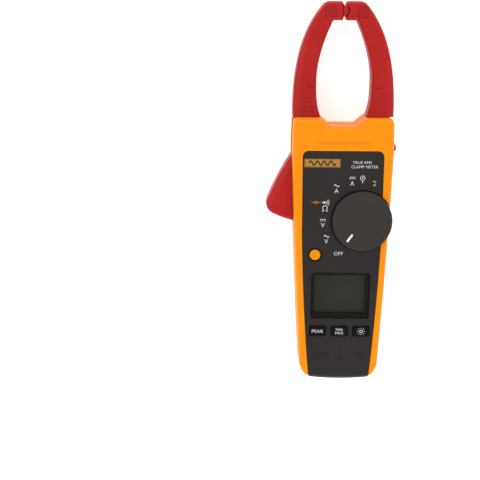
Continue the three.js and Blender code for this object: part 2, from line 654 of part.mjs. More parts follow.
// The guard ridge beside the fixed jaw: a slope towards the jaws and a step towards the hand.
function barrierTab() {
  const section = [new THREE.Vector2(30.1, BARRIER.low), new THREE.Vector2(BARRIER.out, BARRIER.low),
    new THREE.Vector2(BARRIER.out, BARRIER.low + 3.4), new THREE.Vector2(32.4, BARRIER.high),
    new THREE.Vector2(30.1, BARRIER.high)];
  return plate(section, JAW_BACK, JAW_FRONT);
}

// ---- assembly ----

const meter = new THREE.Group();
meter.position.y = -ORIGIN_Y;

function add(name, solid, [color, roughness, metalness]) {
  const mesh = new THREE.Mesh(toGeometry(solid), new THREE.MeshStandardMaterial({ color, roughness, metalness }));
  mesh.name = name;
  meter.add(mesh);
}

add('front_case', frontCase(), FINISH.orange);
add('rear_case', rearCase(), FINISH.orange);
add('battery_door', batteryDoor(), FINISH.black);
add('door_screw', screw(0, DOOR_SCREW_Y, 0, 0.6, 7.4), FINISH.steel);
SCREWS.forEach(([x, y], i) => add(`case_screw_${i + 1}`, screw(x, y, 1.4, 1.6, 29.6), FINISH.steel));

add('front_panel', frontPanel(), FINISH.panel);
add('badge_plate', badgePlate(), FINISH.amber);
add('display_window', displayWindow(), FINISH.glass);
add('lcd_glass', lcdGlass(), FINISH.lcd);
add('lcd_backlight', lcdBacklight(), FINISH.white);
add('lcd_holder', lcdHolder(), FINISH.black);
KEYS.forEach(({ name, x }) => add(name, key(x), FINISH.black));
add('keypad', keypad(), FINISH.rubber);
add('shift_button', shiftButton(), FINISH.orange);

add('dial_knob', dialKnob(), FINISH.knob);
add('dial_marker', dialMarker(), FINISH.white);
add('dial_rotor', dialRotor(), FINISH.white);
add('dial_wiper', dialWiper(), FINISH.copper);
add('dial_seal', dialSeal(), FINISH.rubber);
add('detent_spring', detentSpring(), FINISH.steel);

add('main_board', mainBoard(), FINISH.board);
add('buzzer', buzzer(), FINISH.black);
add('cell_left', cell(-CELL_X, 1), FINISH.cell);
add('cell_right', cell(CELL_X, -1), FINISH.cell);
add('battery_holder', batteryHolder(), FINISH.black);
add('contact_cone_left', contactCone(-CELL_X, 1), FINISH.steel);
add('contact_cone_right', contactCone(CELL_X, -1), FINISH.steel);
add('contact_plate_left', contactPlate(-CELL_X, 1), FINISH.steel);
add('contact_plate_right', contactPlate(CELL_X, -1), FINISH.steel);
add('jack_block', jackBlock(), FINISH.black);
add('jack_tube_com', jackTube(-JACK_X), FINISH.brass);
add('jack_tube_volt', jackTube(JACK_X), FINISH.brass);
add('probe_socket', probeSocket(), FINISH.black);

add('left_jaw_front', leftShell(PARTING + JAW_SPLIT, JAW_FRONT), FINISH.red);
add('left_jaw_rear', leftShell(JAW_BACK, PARTING - JAW_SPLIT), FINISH.red);
add('left_core', jawCore(4.6, -1), FINISH.iron);
add('left_coil', jawCoil(-1), FINISH.copper);
add('jaw_bush', jawBush(), FINISH.brass);
add('jaw_spring', jawSpring(), FINISH.steel);
add('pivot_pin', pivotPin(), FINISH.steel);
add('right_jaw_front', rightShell(PARTING + JAW_SPLIT, JAW_FRONT), FINISH.red);
add('right_jaw_rear', rightShell(JAW_BACK, PARTING - JAW_SPLIT), FINISH.red);
add('right_core', jawCore(8.2, 1), FINISH.iron);
add('right_coil', jawCoil(1), FINISH.copper);
add('field_sensor', block(5.2, 7.6, 238.4, 241.8, 16, 20), FINISH.black);
add('barrier_tab', barrierTab(), FINISH.red);
add('hold_button', holdButton(), FINISH.black);

const group = new THREE.Group();
group.add(meter);
export default group;
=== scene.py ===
"""A clamp meter with a swinging jaw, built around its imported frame.

Lengths in the classes below are in millimetres. X runs across the meter, Y
runs from the jack end to the jaw tips, and Z rises from the rear face.
"""

import logging
import math
from collections.abc import Callable, Iterable, Sequence
from dataclasses import dataclass, field
from enum import Enum

import bmesh
import bpy
from mathutils import Matrix, Vector


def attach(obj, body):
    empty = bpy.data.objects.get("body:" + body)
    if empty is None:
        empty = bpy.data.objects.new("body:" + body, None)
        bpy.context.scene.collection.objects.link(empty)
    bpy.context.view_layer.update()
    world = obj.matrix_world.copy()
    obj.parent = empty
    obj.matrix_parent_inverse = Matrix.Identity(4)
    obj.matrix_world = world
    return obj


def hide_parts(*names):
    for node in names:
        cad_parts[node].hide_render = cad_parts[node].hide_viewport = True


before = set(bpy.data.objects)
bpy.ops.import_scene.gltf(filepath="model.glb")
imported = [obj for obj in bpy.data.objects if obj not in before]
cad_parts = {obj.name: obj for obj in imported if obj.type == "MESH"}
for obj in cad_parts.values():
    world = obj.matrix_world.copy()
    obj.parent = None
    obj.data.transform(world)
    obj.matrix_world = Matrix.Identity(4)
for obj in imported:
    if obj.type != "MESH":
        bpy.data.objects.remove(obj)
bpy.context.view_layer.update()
LOG = logging.getLogger("clamp_meter")

MM = 0.001
DATUM_Y = 100.0  # how far the frame's origin lies from the jack end
MERGE = 1e-3  # points nearer to each other than this, in millimetres, are one

Flat = tuple[float, float]
Place = tuple[float, float, float]
Colour = tuple[float, float, float]


def spot(x: float, y: float, z: float) -> Vector:
    """Give a place of the meter in the frame.

    Args:
        x: Millimetres across, to the right.
        y: Millimetres from the jack end.
        z: Millimetres above the rear face.

    Returns:
        The same place in metres, from the frame's origin.
    """
    return Vector((x, y - DATUM_Y, z)) * MM


def srgb(red: float, green: float, blue: float) -> tuple[float, float, float, float]:
    """Turn a colour that is read off a swatch, 0 to 255, into linear light.

    Args:
        red: Red of the swatch.
        green: Green of the swatch.
        blue: Blue of the swatch.

    Returns:
        The linear colour, with a full alpha.
    """
    def linear(level: float) -> float:
        """Undo the display curve of one channel."""
        level /= 255
        return level / 12.92 if level <= 0.04045 else ((level + 0.055) / 1.055) ** 2.4

    return (linear(red), linear(green), linear(blue), 1.0)


class Body(Enum):
    """The bodies that pieces ride on."""

    CASE = "case"
    LEFT_JAW = "left_jaw"
    DIAL = "dial"
    SHIFT = "shift"
    PEAK = "peak_key"
    MIN_MAX = "min_max_key"
    LIGHT = "light_key"
    HOLD = "hold"


class Pick(Enum):
    """What an edit-mode selection is made of."""

    FACES = "FACE"
    EDGES = "EDGE"


# ---- outlines ----


class Outline:
    """A closed outline on the plane of the front face, drawn piece by piece."""

    def __init__(self, x: float, y: float) -> None:
        """Start at a point.

        Args:
            x: Millimetres across.
            y: Millimetres from the jack end.
        """
        self.points: list[Flat] = [(x, y)]

    def line(self, *ends: Flat) -> "Outline":
        """Go straight to each of `ends` in turn."""
        self.points.extend(ends)
        return self

    def quad(self, control: Flat, end: Flat, steps: int = 10) -> "Outline":
        """Bend towards one control point.

        Args:
            control: The point that pulls the curve.
            end: Where the curve stops.
            steps: How many pieces the curve has.

        Returns:
            The outline itself.
        """
        start = self.points[-1]
        for step in range(1, steps + 1):
            t = step / steps
            self.points.append(tuple(
                (1 - t) ** 2 * a + 2 * t * (1 - t) * b + t * t * c
                for a, b, c in zip(start, control, end)
            ))
        return self

    def cubic(self, first: Flat, second: Flat, end: Flat, steps: int = 16) -> "Outline":
        """Bend towards two control points.

        Args:
            first: The control point near the start.
            second: The control point near the end.
            end: Where the curve stops.
            steps: How many pieces the curve has.

        Returns:
            The outline itself.
        """
        start = self.points[-1]
        for step in range(1, steps + 1):
            t = step / steps
            s = 1 - t
            self.points.append(tuple(
                s ** 3 * a + 3 * s * s * t * b + 3 * s * t * t * c + t ** 3 * d
                for a, b, c, d in zip(start, first, second, end)
            ))
        return self

    def arc(self, centre: Flat, radius: float, start: float, stop: float, steps: int = 9) -> "Outline":
        """Follow a circle.

        Args:
            centre: The circle's centre.
            radius: Its radius.
            start: The angle to begin at, in degrees.
            stop: The angle to end at, in degrees.
            steps: How many pieces the arc has.

        Returns:
            The outline itself.
        """
        for step in range(steps + 1):
            angle = math.radians(start + (stop - start) * step / steps)
            self.points.append((
                centre[0] + radius * math.cos(angle), centre[1] + radius * math.sin(angle),
            ))
        return self

    def closed(self) -> list[Flat]:
        """Give the points once each, counter-clockwise."""
        kept = [
            here for here, before in zip(self.points, [self.points[-1], *self.points[:-1]])
            if math.dist(here, before) > MERGE
        ]
        area = sum(
            a[0] * b[1] - b[0] * a[1] for a, b in zip(kept, [*kept[1:], kept[0]])
        )
        return kept if area > 0 else kept[::-1]


def inset(points: Sequence[Flat], by: float | Sequence[float]) -> list[Flat]:
    """Move an outline inwards, corner by corner.

    Args:
        points: A counter-clockwise outline.
        by: How far, as one number or one for each point.

    Returns:
        The smaller outline, with as many points.
    """
    count = len(points)
    far = [by] * count if isinstance(by, (int, float)) else list(by)
    moved = []
    for i, here in enumerate(points):
        a = (Vector(here) - Vector(points[i - 1])).normalized()
        b = (Vector(points[(i + 1) % count]) - Vector(here)).normalized()
        normal = Vector((-(a.y + b.y), a.x + b.x)).normalized()
        reach = far[i] / max(normal.dot(Vector((-a.y, a.x))), 0.5)
        moved.append((here[0] + normal.x * reach, here[1] + normal.y * reach))
    return moved


def rounded_box(
    left: float, right: float, low: float, high: float, radius: float, steps: int = 8,
) -> list[Flat]:
    """Outline a rectangle with round corners.

    Args:
        left: Left side.
        right: Right side.
        low: Side nearer the jack end.
        high: Side nearer the jaws.
        radius: Radius of the corners.
        steps: Pieces in each corner.

    Returns:
        The outline's points.
    """
    shape = Outline(left + radius, low)
    shape.arc((right - radius, low + radius), radius, -90, 0, steps)
    shape.arc((right - radius, high - radius), radius, 0, 90, steps)
    shape.arc((left + radius, high - radius), radius, 90, 180, steps)
    shape.arc((left + radius, low + radius), radius, 180, 270, steps)
    return shape.closed()


def rounding(run: float, drop: float, steps: int) -> list[Flat]:
    """Follow the rounding of an edge up from the side to the top.

    Args:
        run: How far it reaches in from the side.
        drop: How far it reaches down from the top.
        steps: Facets across it.

    Returns:
        How far each point lies in from the side, and how far below the top.
    """
    turns = [math.radians(90 * step / steps) for step in range(steps + 1)]
    return [(run * (1 - math.cos(turn)), drop * (1 - math.sin(turn))) for turn in turns]


# ---- the bench ----


def clear_bench() -> None:
    """Deselect everything, so that the next operator acts on its own piece."""
    if bpy.context.mode != "OBJECT":
        bpy.ops.object.mode_set(mode="OBJECT")
    bpy.ops.object.select_all(action="DESELECT")
    bpy.context.tool_settings.mesh_select_mode = (True, False, False)


class Solid:
    """A mesh piece on the bench, shaped with the edit-mode tools."""

    def __init__(self, thing: bpy.types.Object, name: str) -> None:
        """Take up an object that an operator has just made.

        Args:
            thing: The new object.
            name: What the piece is called.
        """
        self.thing = thing
        thing.name = name
        thing.data.name = name
        self.settle()

    # making

    @classmethod
    def plate(cls, name: str, points: Sequence[Flat], low: float, high: float) -> "Solid":
        """Raise an outline into a plate.

        Args:
            name: What the piece is called.
            points: Its counter-clockwise outline.
            low: Height of its underside.
            high: Height of its top.

        Returns:
            The plate.
        """
        return cls.loft(name, [(points, low), (points, high)])

    @classmethod
    def loft(cls, name: str, rings: Sequence[tuple[Sequence[Flat], float]]) -> "Solid":
        """Raise an outline through a row of outlines, each at its own height.

        Args:
            name: What the piece is called.
            rings: Outlines with as many points each, and their heights.

        Returns:
            The closed body.
        """
        clear_bench()
        points, low = rings[0]
        bpy.ops.mesh.primitive_circle_add(
            vertices=len(points), radius=MM, fill_type="NGON", location=(0, 0, 0),
        )
        solid = cls(bpy.context.object, name)
        mesh = solid.thing.data
        for vertex, (x, y) in zip(mesh.vertices, points):
            vertex.co = spot(x, y, low)
        for points, height in rings[1:]:
            before = len(mesh.vertices)
            bpy.ops.object.mode_set(mode="EDIT")
            bpy.ops.mesh.extrude_region_move(TRANSFORM_OT_translate={"value": (0, 0, MM)})
            bpy.ops.object.mode_set(mode="OBJECT")
            raised = [vertex for vertex in mesh.vertices if vertex.select]
            if len(raised) != len(points) or len(mesh.vertices) - before != len(points):
                raise ValueError(f"{name}: a ring was lost on the way up")
            for vertex, (x, y) in zip(raised, points):
                vertex.co = spot(x, y, height)
        return solid.outward()

    @classmethod
    def turned(
        cls, name: str, centre: Place, profile: Sequence[Flat], axis: str = "Z", sides: int = 48,
    ) -> "Solid":
        """Turn a profile round an axis, as on a lathe.

        Args:
            name: What the piece is called.
            centre: The axis' foot, in the meter's millimetres.
            profile: Radius and height pairs, from one end of the axis to the other.
            axis: Y or Z, the way that the profile's heights run.
            sides: Facets round the piece.

        Returns:
            The closed body.
        """
        clear_bench()
        bpy.ops.mesh.primitive_plane_add(size=MM, location=(0, 0, 0))
        solid = cls(bpy.context.object, name)
        work = bmesh.new()
        row = [work.verts.new((radius * MM, 0, height * MM)) for radius, height in profile]
        for a, b in zip(row, row[1:]):
            work.edges.new((a, b))
        work.to_mesh(solid.thing.data)
        work.free()
        bpy.ops.object.mode_set(mode="EDIT")
        bpy.ops.mesh.select_all(action="SELECT")
        bpy.ops.mesh.spin(steps=sides, angle=2 * math.pi, center=(0, 0, 0), axis=(0, 0, 1), dupli=False)
        bpy.ops.mesh.select_all(action="SELECT")
        bpy.ops.mesh.remove_doubles(threshold=MM * MERGE)
        bpy.ops.object.mode_set(mode="OBJECT")
        lay = {"Z": Matrix.Identity(4), "Y": Matrix.Rotation(-math.pi / 2, 4, "X")}[axis]
        solid.thing.data.transform(Matrix.Translation(spot(*centre)) @ lay)
        return solid.outward()

    @classmethod
    def box(cls, name: str, xs: Flat, ys: Flat, zs: Flat) -> "Solid":
        """Make a block between two places on each axis, as a start or a cutter."""
        clear_bench()
        low, high = spot(xs[0], ys[0], zs[0]), spot(xs[1], ys[1], zs[1])
        bpy.ops.mesh.primitive_cube_add(size=1, location=(low + high) / 2, scale=high - low)
        return cls(bpy.context.object, name)

    @classmethod
    def peg(
        cls, name: str, centre: Place, radius: float, length: float, axis: str = "Z", sides: int = 32,
    ) -> "Solid":
        """Make a round bar from `centre`, `length` along `axis`, as a cutter or a boss."""
        return cls.turned(name, centre, [(0, 0), (radius, 0), (radius, length), (0, length)], axis, sides)

    # shaping

    def settle(self) -> "Solid":
        """Put the piece's place into its mesh and leave its object at the origin."""
        self.thing.data.transform(self.thing.matrix_basis)
        self.thing.matrix_basis = Matrix.Identity(4)
        return self

    def alone(self) -> None:
        """Select this piece only."""
        clear_bench()
        self.thing.select_set(True)
        bpy.context.view_layer.objects.active = self.thing

    def outward(self) -> "Solid":
        """Merge doubled points and turn every face outwards."""
        self.alone()
        bpy.ops.object.mode_set(mode="EDIT")
        bpy.ops.mesh.select_all(action="SELECT")
        bpy.ops.mesh.remove_doubles(threshold=MM * MERGE)
        bpy.ops.mesh.normals_make_consistent(inside=False)
        bpy.ops.object.mode_set(mode="OBJECT")
        return self

    def pick(self, what: Pick, test: Callable[[Vector, Vector], bool]) -> int:
        """Enter edit mode with the parts that pass a test selected.

        Args:
            what: Faces or edges.
            test: Says yes to a place in the meter's millimetres and a normal.

        Returns:
            How many parts were selected.
        """
        self.alone()
        bpy.ops.object.mode_set(mode="EDIT")
        bpy.ops.mesh.select_mode(type=what.value)
        bpy.ops.mesh.select_all(action="DESELECT")
        work = bmesh.from_edit_mesh(self.thing.data)
        rows = {Pick.FACES: work.faces, Pick.EDGES: work.edges}[what]
        for part in rows:
            if what is Pick.FACES:
                place, normal = part.calc_center_median(), part.normal
            else:
                place = (part.verts[0].co + part.verts[1].co) / 2
                normal = sum((face.normal for face in part.link_faces), Vector()).normalized()
            part.select_set(bool(test(place / MM + Vector((0, DATUM_Y, 0)), normal)))
        work.select_flush_mode()
        bmesh.update_edit_mesh(self.thing.data)
        return sum(part.select for part in rows)

    def done(self) -> "Solid":
        """Leave edit mode."""
        bpy.ops.object.mode_set(mode="OBJECT")
        return self

    def bevel_where(self, width: float, steps: int, test: Callable[[Vector, Vector], bool]) -> "Solid":
        """Round the edges that pass a test.

        Args:
            width: Width of the rounding.
            steps: Facets across it.
            test: As for `pick`.

        Returns:
            The piece itself.
        """
        if self.pick(Pick.EDGES, test):
            bpy.ops.mesh.bevel(offset=width * MM, segments=steps, profile=0.5, affect="EDGES")
        return self.done()

    def inset_where(
        self, width: float, depth: float, test: Callable[[Vector, Vector], bool],
    ) -> "Solid":
        """Inset the faces that pass a test and sink or raise what lies inside.

        Args:
            width: How far the new edge lies inside the old one.
            depth: How far the inside rises; a negative depth sinks it.
            test: As for `pick`.

        Returns:
            The piece itself.
        """
        if self.pick(Pick.FACES, test):
            bpy.ops.mesh.inset(thickness=width * MM, depth=depth * MM, use_even_offset=True)
        return self.done()

    def _boolean(self, others: Iterable["Solid"], operation: str) -> "Solid":
        """Apply one Boolean modifier for each of the other pieces, and use them up."""
        for other in others:
            self.alone()
            step = self.thing.modifiers.new("tool", "BOOLEAN")
            step.operation = operation
            step.solver = "EXACT"
            step.object = other.thing
            bpy.ops.object.modifier_apply(modifier=step.name)
            bpy.data.objects.remove(other.thing)
        return self.heal()

    def heal(self, reach: float = 0.004) -> "Solid":
        """Merge points that a tool has left within `reach` millimetres of each other."""
        self.alone()
        bpy.ops.object.mode_set(mode="EDIT")
        bpy.ops.mesh.select_all(action="SELECT")
        bpy.ops.mesh.remove_doubles(threshold=reach * MM)
        bpy.ops.mesh.dissolve_degenerate(threshold=reach * MM)
        bpy.ops.object.mode_set(mode="OBJECT")
        return self

    def cut(self, *others: "Solid") -> "Solid":
        """Take the other pieces away from this one."""
        return self._boolean(others, "DIFFERENCE")

    def weld(self, *others: "Solid") -> "Solid":
        """Make one body of this piece and the others."""
        return self._boolean(others, "UNION")

    def keep_inside(self, *others: "Solid") -> "Solid":
        """Keep only what also lies inside the others."""
        return self._boolean(others, "INTERSECT")

    def gather(self, *others: "Solid") -> "Solid":
        """Join loose pieces into this piece's mesh without cutting them."""
        self.alone()
        for other in others:
            other.thing.select_set(True)
        bpy.ops.object.join()
        return self

    def copy(self, name: str) -> "Solid":
        """Copy the piece with its own mesh."""
        self.alone()
        bpy.ops.object.duplicate(linked=False)
        return Solid(bpy.context.object, name)

    def tidy(self, width: float = 0.25, steps: int = 2, angle: float = 32.0) -> "Solid":
        """Break the sharp edges and shade what is left smooth.

        Args:
            width: Width of the broken edges; none if it is 0.
            steps: Facets across them.
            angle: Edges sharper than this, in degrees, count as sharp.

        Returns:
            The piece itself.
        """
        self.alone()
        if width:
            step = self.thing.modifiers.new("edge", "BEVEL")
            step.width = width * MM
            step.segments = steps
            step.limit_method = "ANGLE"
            step.angle_limit = math.radians(angle)
            step.miter_outer = "MITER_ARC"
            bpy.ops.object.modifier_apply(modifier=step.name)
        bpy.ops.object.shade_smooth_by_angle(angle=math.radians(angle))
        step = self.thing.modifiers.new("normals", "WEIGHTED_NORMAL")
        step.keep_sharp = True
        bpy.ops.object.modifier_apply(modifier=step.name)
        return self

    def fit(self, finish: "Finish", body: Body, *nodes: str, slot: str | None = None) -> "Solid":
        """Dress the piece and hand it to the frame.

        Args:
            finish: What it is made of.
            body: The body it rides on.
            nodes: CAD nodes that it stands for.
            slot: Meant for the record's material slot, if not the finish's own; not used.

        Returns:
            The piece itself.
        """
        self.thing.data.materials.clear()
        self.thing.data.materials.append(finish.material())
        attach(self.thing, body.value)
        if nodes:
            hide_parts(*nodes)
        LOG.info("%s: %d faces", self.thing.name, len(self.thing.data.polygons))
        return self


# ---- finishes ----


class Signal:
    """A node's output that takes part in arithmetic."""

    def __init__(self, shader: "Shader", socket: bpy.types.NodeSocket) -> None:
        """Wrap a socket of a shader's tree."""
        self.shader = shader
        self.socket = socket

    def _maths(self, operation: str, first: "Signal | float", second: "Signal | float") -> "Signal":
        """Add a Math node.

        Args:
            operation: The node's operation.
            first: Its first value.
            second: Its second value.

        Returns:
            The node's output.
        """
        return self.shader.node("ShaderNodeMath", {"operation": operation}, {0: first, 1: second})

    def __add__(self, other: "Signal | float") -> "Signal":
        """Add."""
        return self._maths("ADD", self, other)

    def __radd__(self, other: "Signal | float") -> "Signal":
        """Add, with the number first."""
        return self._maths("ADD", other, self)

    def __sub__(self, other: "Signal | float") -> "Signal":
        """Subtract."""
        return self._maths("SUBTRACT", self, other)

    def __rsub__(self, other: "Signal | float") -> "Signal":
        """Subtract from a number."""
        return self._maths("SUBTRACT", other, self)

    def __mul__(self, other: "Signal | float") -> "Signal":
        """Multiply."""
        return self._maths("MULTIPLY", self, other)

    def __rmul__(self, other: "Signal | float") -> "Signal":
        """Multiply, with the number first."""
        return self._maths("MULTIPLY", other, self)

    def __gt__(self, other: "Signal | float") -> "Signal":
        """Give 1 where this is the greater one, else 0."""
        return self._maths("GREATER_THAN", self, other)

    def stepped(self, low: float, high: float) -> "Signal":
        """Rise from 0 at `low` to 1 at `high`, and stay within that."""
        return self.shader.node("ShaderNodeMapRange", {"clamp": True, "interpolation_type": "SMOOTHSTEP"}, {
            "Value": self, "From Min": low, "From Max": high,
        })

    def wave(self) -> "Signal":
        """Give the sine."""
        return self._maths("SINE", self, 0.0)


class Shader:
    """A material and its tree of nodes."""

    def __init__(self, name: str) -> None:
        """Start a material with one Principled shader.

        Args:
            name: The material's name.
        """
        self.material = bpy.data.materials.new(f"{name}_finish")
        self.material.use_nodes = True
        self.tree = self.material.node_tree
        self.tree.nodes.clear()
        self.surface = self.tree.nodes.new("ShaderNodeBsdfPrincipled")
        output = self.tree.nodes.new("ShaderNodeOutputMaterial")
        self.tree.links.new(self.surface.outputs[0], output.inputs["Surface"])

    def node(
        self, kind: str, settings: dict | None = None, inputs: dict | None = None, output: int | str = 0,
    ) -> Signal:
        """Add a node.

        Args:
            kind: The node's type.
            settings: What is set on the node itself.
            inputs: Values or signals, by socket name or number.
            output: Which output to give back.

        Returns:
            That output.
        """
        made = self.tree.nodes.new(kind)
        for key, value in (settings or {}).items():
            setattr(made, key, value)
        for key, value in (inputs or {}).items():
            self.feed(made.inputs[key], value)
        return Signal(self, made.outputs[output])

    def feed(self, socket: bpy.types.NodeSocket, value: object) -> None:
        """Link a signal to a socket, or set the socket's own value."""
        if isinstance(value, Signal):
            self.tree.links.new(value.socket, socket)
        else:
            socket.default_value = value

    def set(self, **sockets: object) -> "Shader":
        """Feed the Principled shader, with underscores for the spaces in socket names."""
        for name, value in sockets.items():
            self.feed(self.surface.inputs[name.replace("_", " ")], value)
        return self

    def place(self, stretch: Place = (1, 1, 1), turn: float = 0.0) -> Signal:
        """Give places on the piece, in millimetres from the frame's origin.

        Args:
            stretch: Counts each axis so many times over.
            turn: Turns the pattern about Z, in degrees.

        Returns:
            The places.
        """
        return self.node("ShaderNodeMapping", inputs={
            "Vector": self.node("ShaderNodeTexCoord", output="Object"),
            "Rotation": (0, 0, math.radians(turn)),
            "Scale": tuple(amount / MM for amount in stretch),
        })

    def axis(self, places: Signal, which: str) -> Signal:
        """Take X, Y or Z out of places."""
        return self.node("ShaderNodeSeparateXYZ", inputs={0: places}, output=which)

    def noise(
        self, size: float, detail: float = 2.0, places: Signal | None = None, rough: float = 0.55,
    ) -> Signal:
        """Add noise from 0 to 1.

        Args:
            size: Size of its largest features, in millimetres.
            detail: How many finer layers it has.
            places: Where it is read; the piece's own places if none.
            rough: How strong the finer layers are.

        Returns:
            The noise.
        """
        return self.node("ShaderNodeTexNoise", {"noise_dimensions": "3D"}, {
            "Vector": places or self.place(), "Scale": 1 / size, "Detail": detail, "Roughness": rough,
        })

    def blend(self, share: "Signal | float", first: object, second: object) -> Signal:
        """Mix two colours.

        Args:
            share: How much of the second, from 0 to 1.
            first: A colour or a signal.
            second: A colour or a signal.

        Returns:
            The colour between them.
        """
        return self.node(
            "ShaderNodeMix", {"data_type": "RGBA", "clamp_factor": True}, {0: share, 6: first, 7: second}, 2,
        )

    def bump(self, height: Signal, depth: float, under: Signal | None = None) -> Signal:
        """Tilt the normal by a height.

        Args:
            height: Height from 0 to 1.
            depth: What 1 stands for, in millimetres.
            under: A normal that this lies on.

        Returns:
            The normal.
        """
        inputs = {"Height": height, "Strength": 1.0, "Distance": depth * MM}
        if under:
            inputs["Normal"] = under
        return self.node("ShaderNodeBump", {}, inputs)


def scaled(colour: tuple[float, ...], by: float) -> tuple[float, float, float, float]:
    """Lighten or darken a linear colour.

    Args:
        colour: The colour.
        by: What its light is multiplied by.

    Returns:
        The new colour, with a full alpha.
    """
    return tuple(min(1.0, channel * by) for channel in colour[:3]) + (1.0,)


@dataclass(frozen=True)
class Finish:
    """What every finish has: a name and a slot of the record."""

    name: str
    slot: str
    colour: Colour

    def material(self) -> bpy.types.Material:
        """Give the material, made the first time it is asked for."""
        made = bpy.data.materials.get(f"{self.name}_finish")
        return made if made else self.mix().material

    def mix(self) -> Shader:
        """Make the material's tree."""
        raise NotImplementedError(self.name)


@dataclass(frozen=True)
class Moulded(Finish):
    """Moulded plastic or rubber with a fine spark-eroded grain and light wear."""

    roughness: float = 0.45
    grain: float = 0.35
    depth: float = 0.012
    mottle: float = 0.05
    wear: float = 0.5
    gloss: float = 0.28

    def mix(self) -> Shader:
        """Lay grain, clouding, rubbed patches and hairline scuffs over the colour."""
        shader = Shader(self.name)
        base = srgb(*self.colour)
        cloud = shader.noise(23, 3)
        fine = shader.noise(self.grain, 2, rough=0.7)
        pore = shader.noise(self.grain * 3.1, 3)
        rubbed = shader.noise(11, 4).stepped(0.52, 0.74)
        hair = shader.noise(1.6, 5, shader.place((0.05, 1.6, 1.0), 34)).stepped(0.665, 0.70)
        nick = shader.noise(1.1, 4, shader.place((1.9, 0.07, 1.0), -12)).stepped(0.675, 0.71)
        marks = (hair + nick) * (rubbed * self.wear)
        pale, deep = scaled(base, 1 + self.mottle), scaled(base, 1 - self.mottle)
        toned = shader.blend(cloud.stepped(0.3, 0.7), deep, pale)
        grainy = shader.blend(fine * (self.mottle * 3.0), toned, scaled(base, 0.72))
        colour = shader.blend(marks * 0.35, grainy, scaled([channel + 0.04 for channel in base], 1.25))
        polish = self.roughness + (cloud - 0.5) * 0.10 - rubbed * (0.10 * self.wear) + fine * 0.05
        skin = shader.bump(fine * 0.6 + pore * 0.4, self.depth)
        return shader.set(
            Base_Color=colour,
            Roughness=polish + marks * 0.15,
            Normal=shader.bump(marks, 0.006, skin),
            Specular_IOR_Level=self.gloss,
        )


@dataclass(frozen=True)
class Printed(Finish):
    """Screen-printed ink, thin at its edges and a little worn."""

    def mix(self) -> Shader:
        """Break the ink with pinholes and soft rubbing."""
        shader = Shader(self.name)
        base = srgb(*self.colour)
        rub = shader.noise(2.4, 3).stepped(0.35, 0.8)
        pin = shader.noise(0.16, 2).stepped(0.66, 0.76)
        return shader.set(
            Base_Color=shader.blend(rub * 0.22 + pin * 0.3, base, scaled(base, 0.55)),
            Roughness=0.42 + rub * 0.2,
            Normal=shader.bump(pin, 0.01),
            Specular_IOR_Level=0.3,
        )


@dataclass(frozen=True)
class Foil(Finish):
    """A metallic label, brushed along its length under clear lacquer."""

    def mix(self) -> Shader:
        """Draw brush lines along X, with soft clouds."""
        shader = Shader(self.name)
        base = srgb(*self.colour)
        lines = shader.noise(0.9, 4, shader.place((0.02, 7.0, 1.0)))
        cloud = shader.noise(6, 2)
        return shader.set(
            Base_Color=shader.blend(lines * 0.7 + cloud * 0.3, scaled(base, 0.72), scaled(base, 1.25)),
            Metallic=0.35,
            Roughness=0.34 + lines * 0.2,
            Normal=shader.bump(lines, 0.01),
            Coat_Weight=0.4,
            Coat_Roughness=0.1,
        )


@dataclass(frozen=True)
class Clear(Finish):
    """A clear moulded window with a faint tint."""

    def mix(self) -> Shader:
        """Let most light through and keep the gloss, with faint smears."""
        shader = Shader(self.name)
        smear = shader.noise(9, 3).stepped(0.4, 0.75)
        return shader.set(
            Base_Color=srgb(*self.colour),
            Roughness=0.05 + smear * 0.08,
            Alpha=0.10 + smear * 0.02,
            Specular_IOR_Level=0.35,
        )


@dataclass(frozen=True)
class Display(Finish):
    """An unlit liquid-crystal glass: a dark greenish polariser."""

    def mix(self) -> Shader:
        """Shade the polariser with soft clouds and a fine film."""
        shader = Shader(self.name)
        base = srgb(*self.colour)
        cloud, film = shader.noise(40, 0), shader.noise(0.3, 1)
        shade = shader.blend(cloud.stepped(0.3, 0.7), scaled(base, 0.92), scaled(base, 1.08))
        return shader.set(
            Base_Color=shader.blend(film * 0.06, shade, scaled(base, 0.6)),
            Roughness=0.24 + cloud * 0.12,
            Normal=shader.bump(film, 0.001),
            Specular_IOR_Level=0.2,
        )


@dataclass(frozen=True)
class Metal(Finish):
    """Plated or turned metal with fine tool lines."""

    roughness: float = 0.28
    lines: Place = (1.0, 1.0, 6.0)

    def mix(self) -> Shader:
        """Lay tool lines and a dull bloom over the metal."""
        shader = Shader(self.name)
        base = srgb(*self.colour)
        line = shader.noise(0.35, 3, shader.place(self.lines))
        bloom = shader.noise(3.5, 3)
        return shader.set(
            Base_Color=shader.blend(bloom.stepped(0.3, 0.75), scaled(base, 1.05), scaled(base, 0.78)),
            Metallic=1.0,
            Roughness=self.roughness + bloom * 0.14 + line * 0.08,
            Normal=shader.bump(line, 0.006),
        )


@dataclass(frozen=True)
class Winding(Finish):
    """Enamelled copper wire laid side by side."""

    wire: float = 0.5

    def mix(self) -> Shader:
        """Round each turn of wire with a bump, paint shade between the turns and a highlight on their crowns, and
        vary its enamel.
        """
        shader = Shader(self.name)
        base = srgb(*self.colour)
        along = shader.axis(shader.place(), "Y")
        turn = (along * (2 * math.pi / self.wire)).wave() * 0.5 + 0.5
        streak = shader.noise(1.3, 2)
        return shader.set(
            # Painted shade between the turns and a painted highlight on their crowns: 0.35 to 1.15 of the copper's
            # colour along each turn.
            Base_Color=shader.blend(turn * 0.7 + streak * 0.3, scaled(base, 0.35), scaled(base, 1.15)),
            Metallic=0.75,
            Roughness=0.3 + streak * 0.15,
            Normal=shader.bump(turn, 0.12),
        )


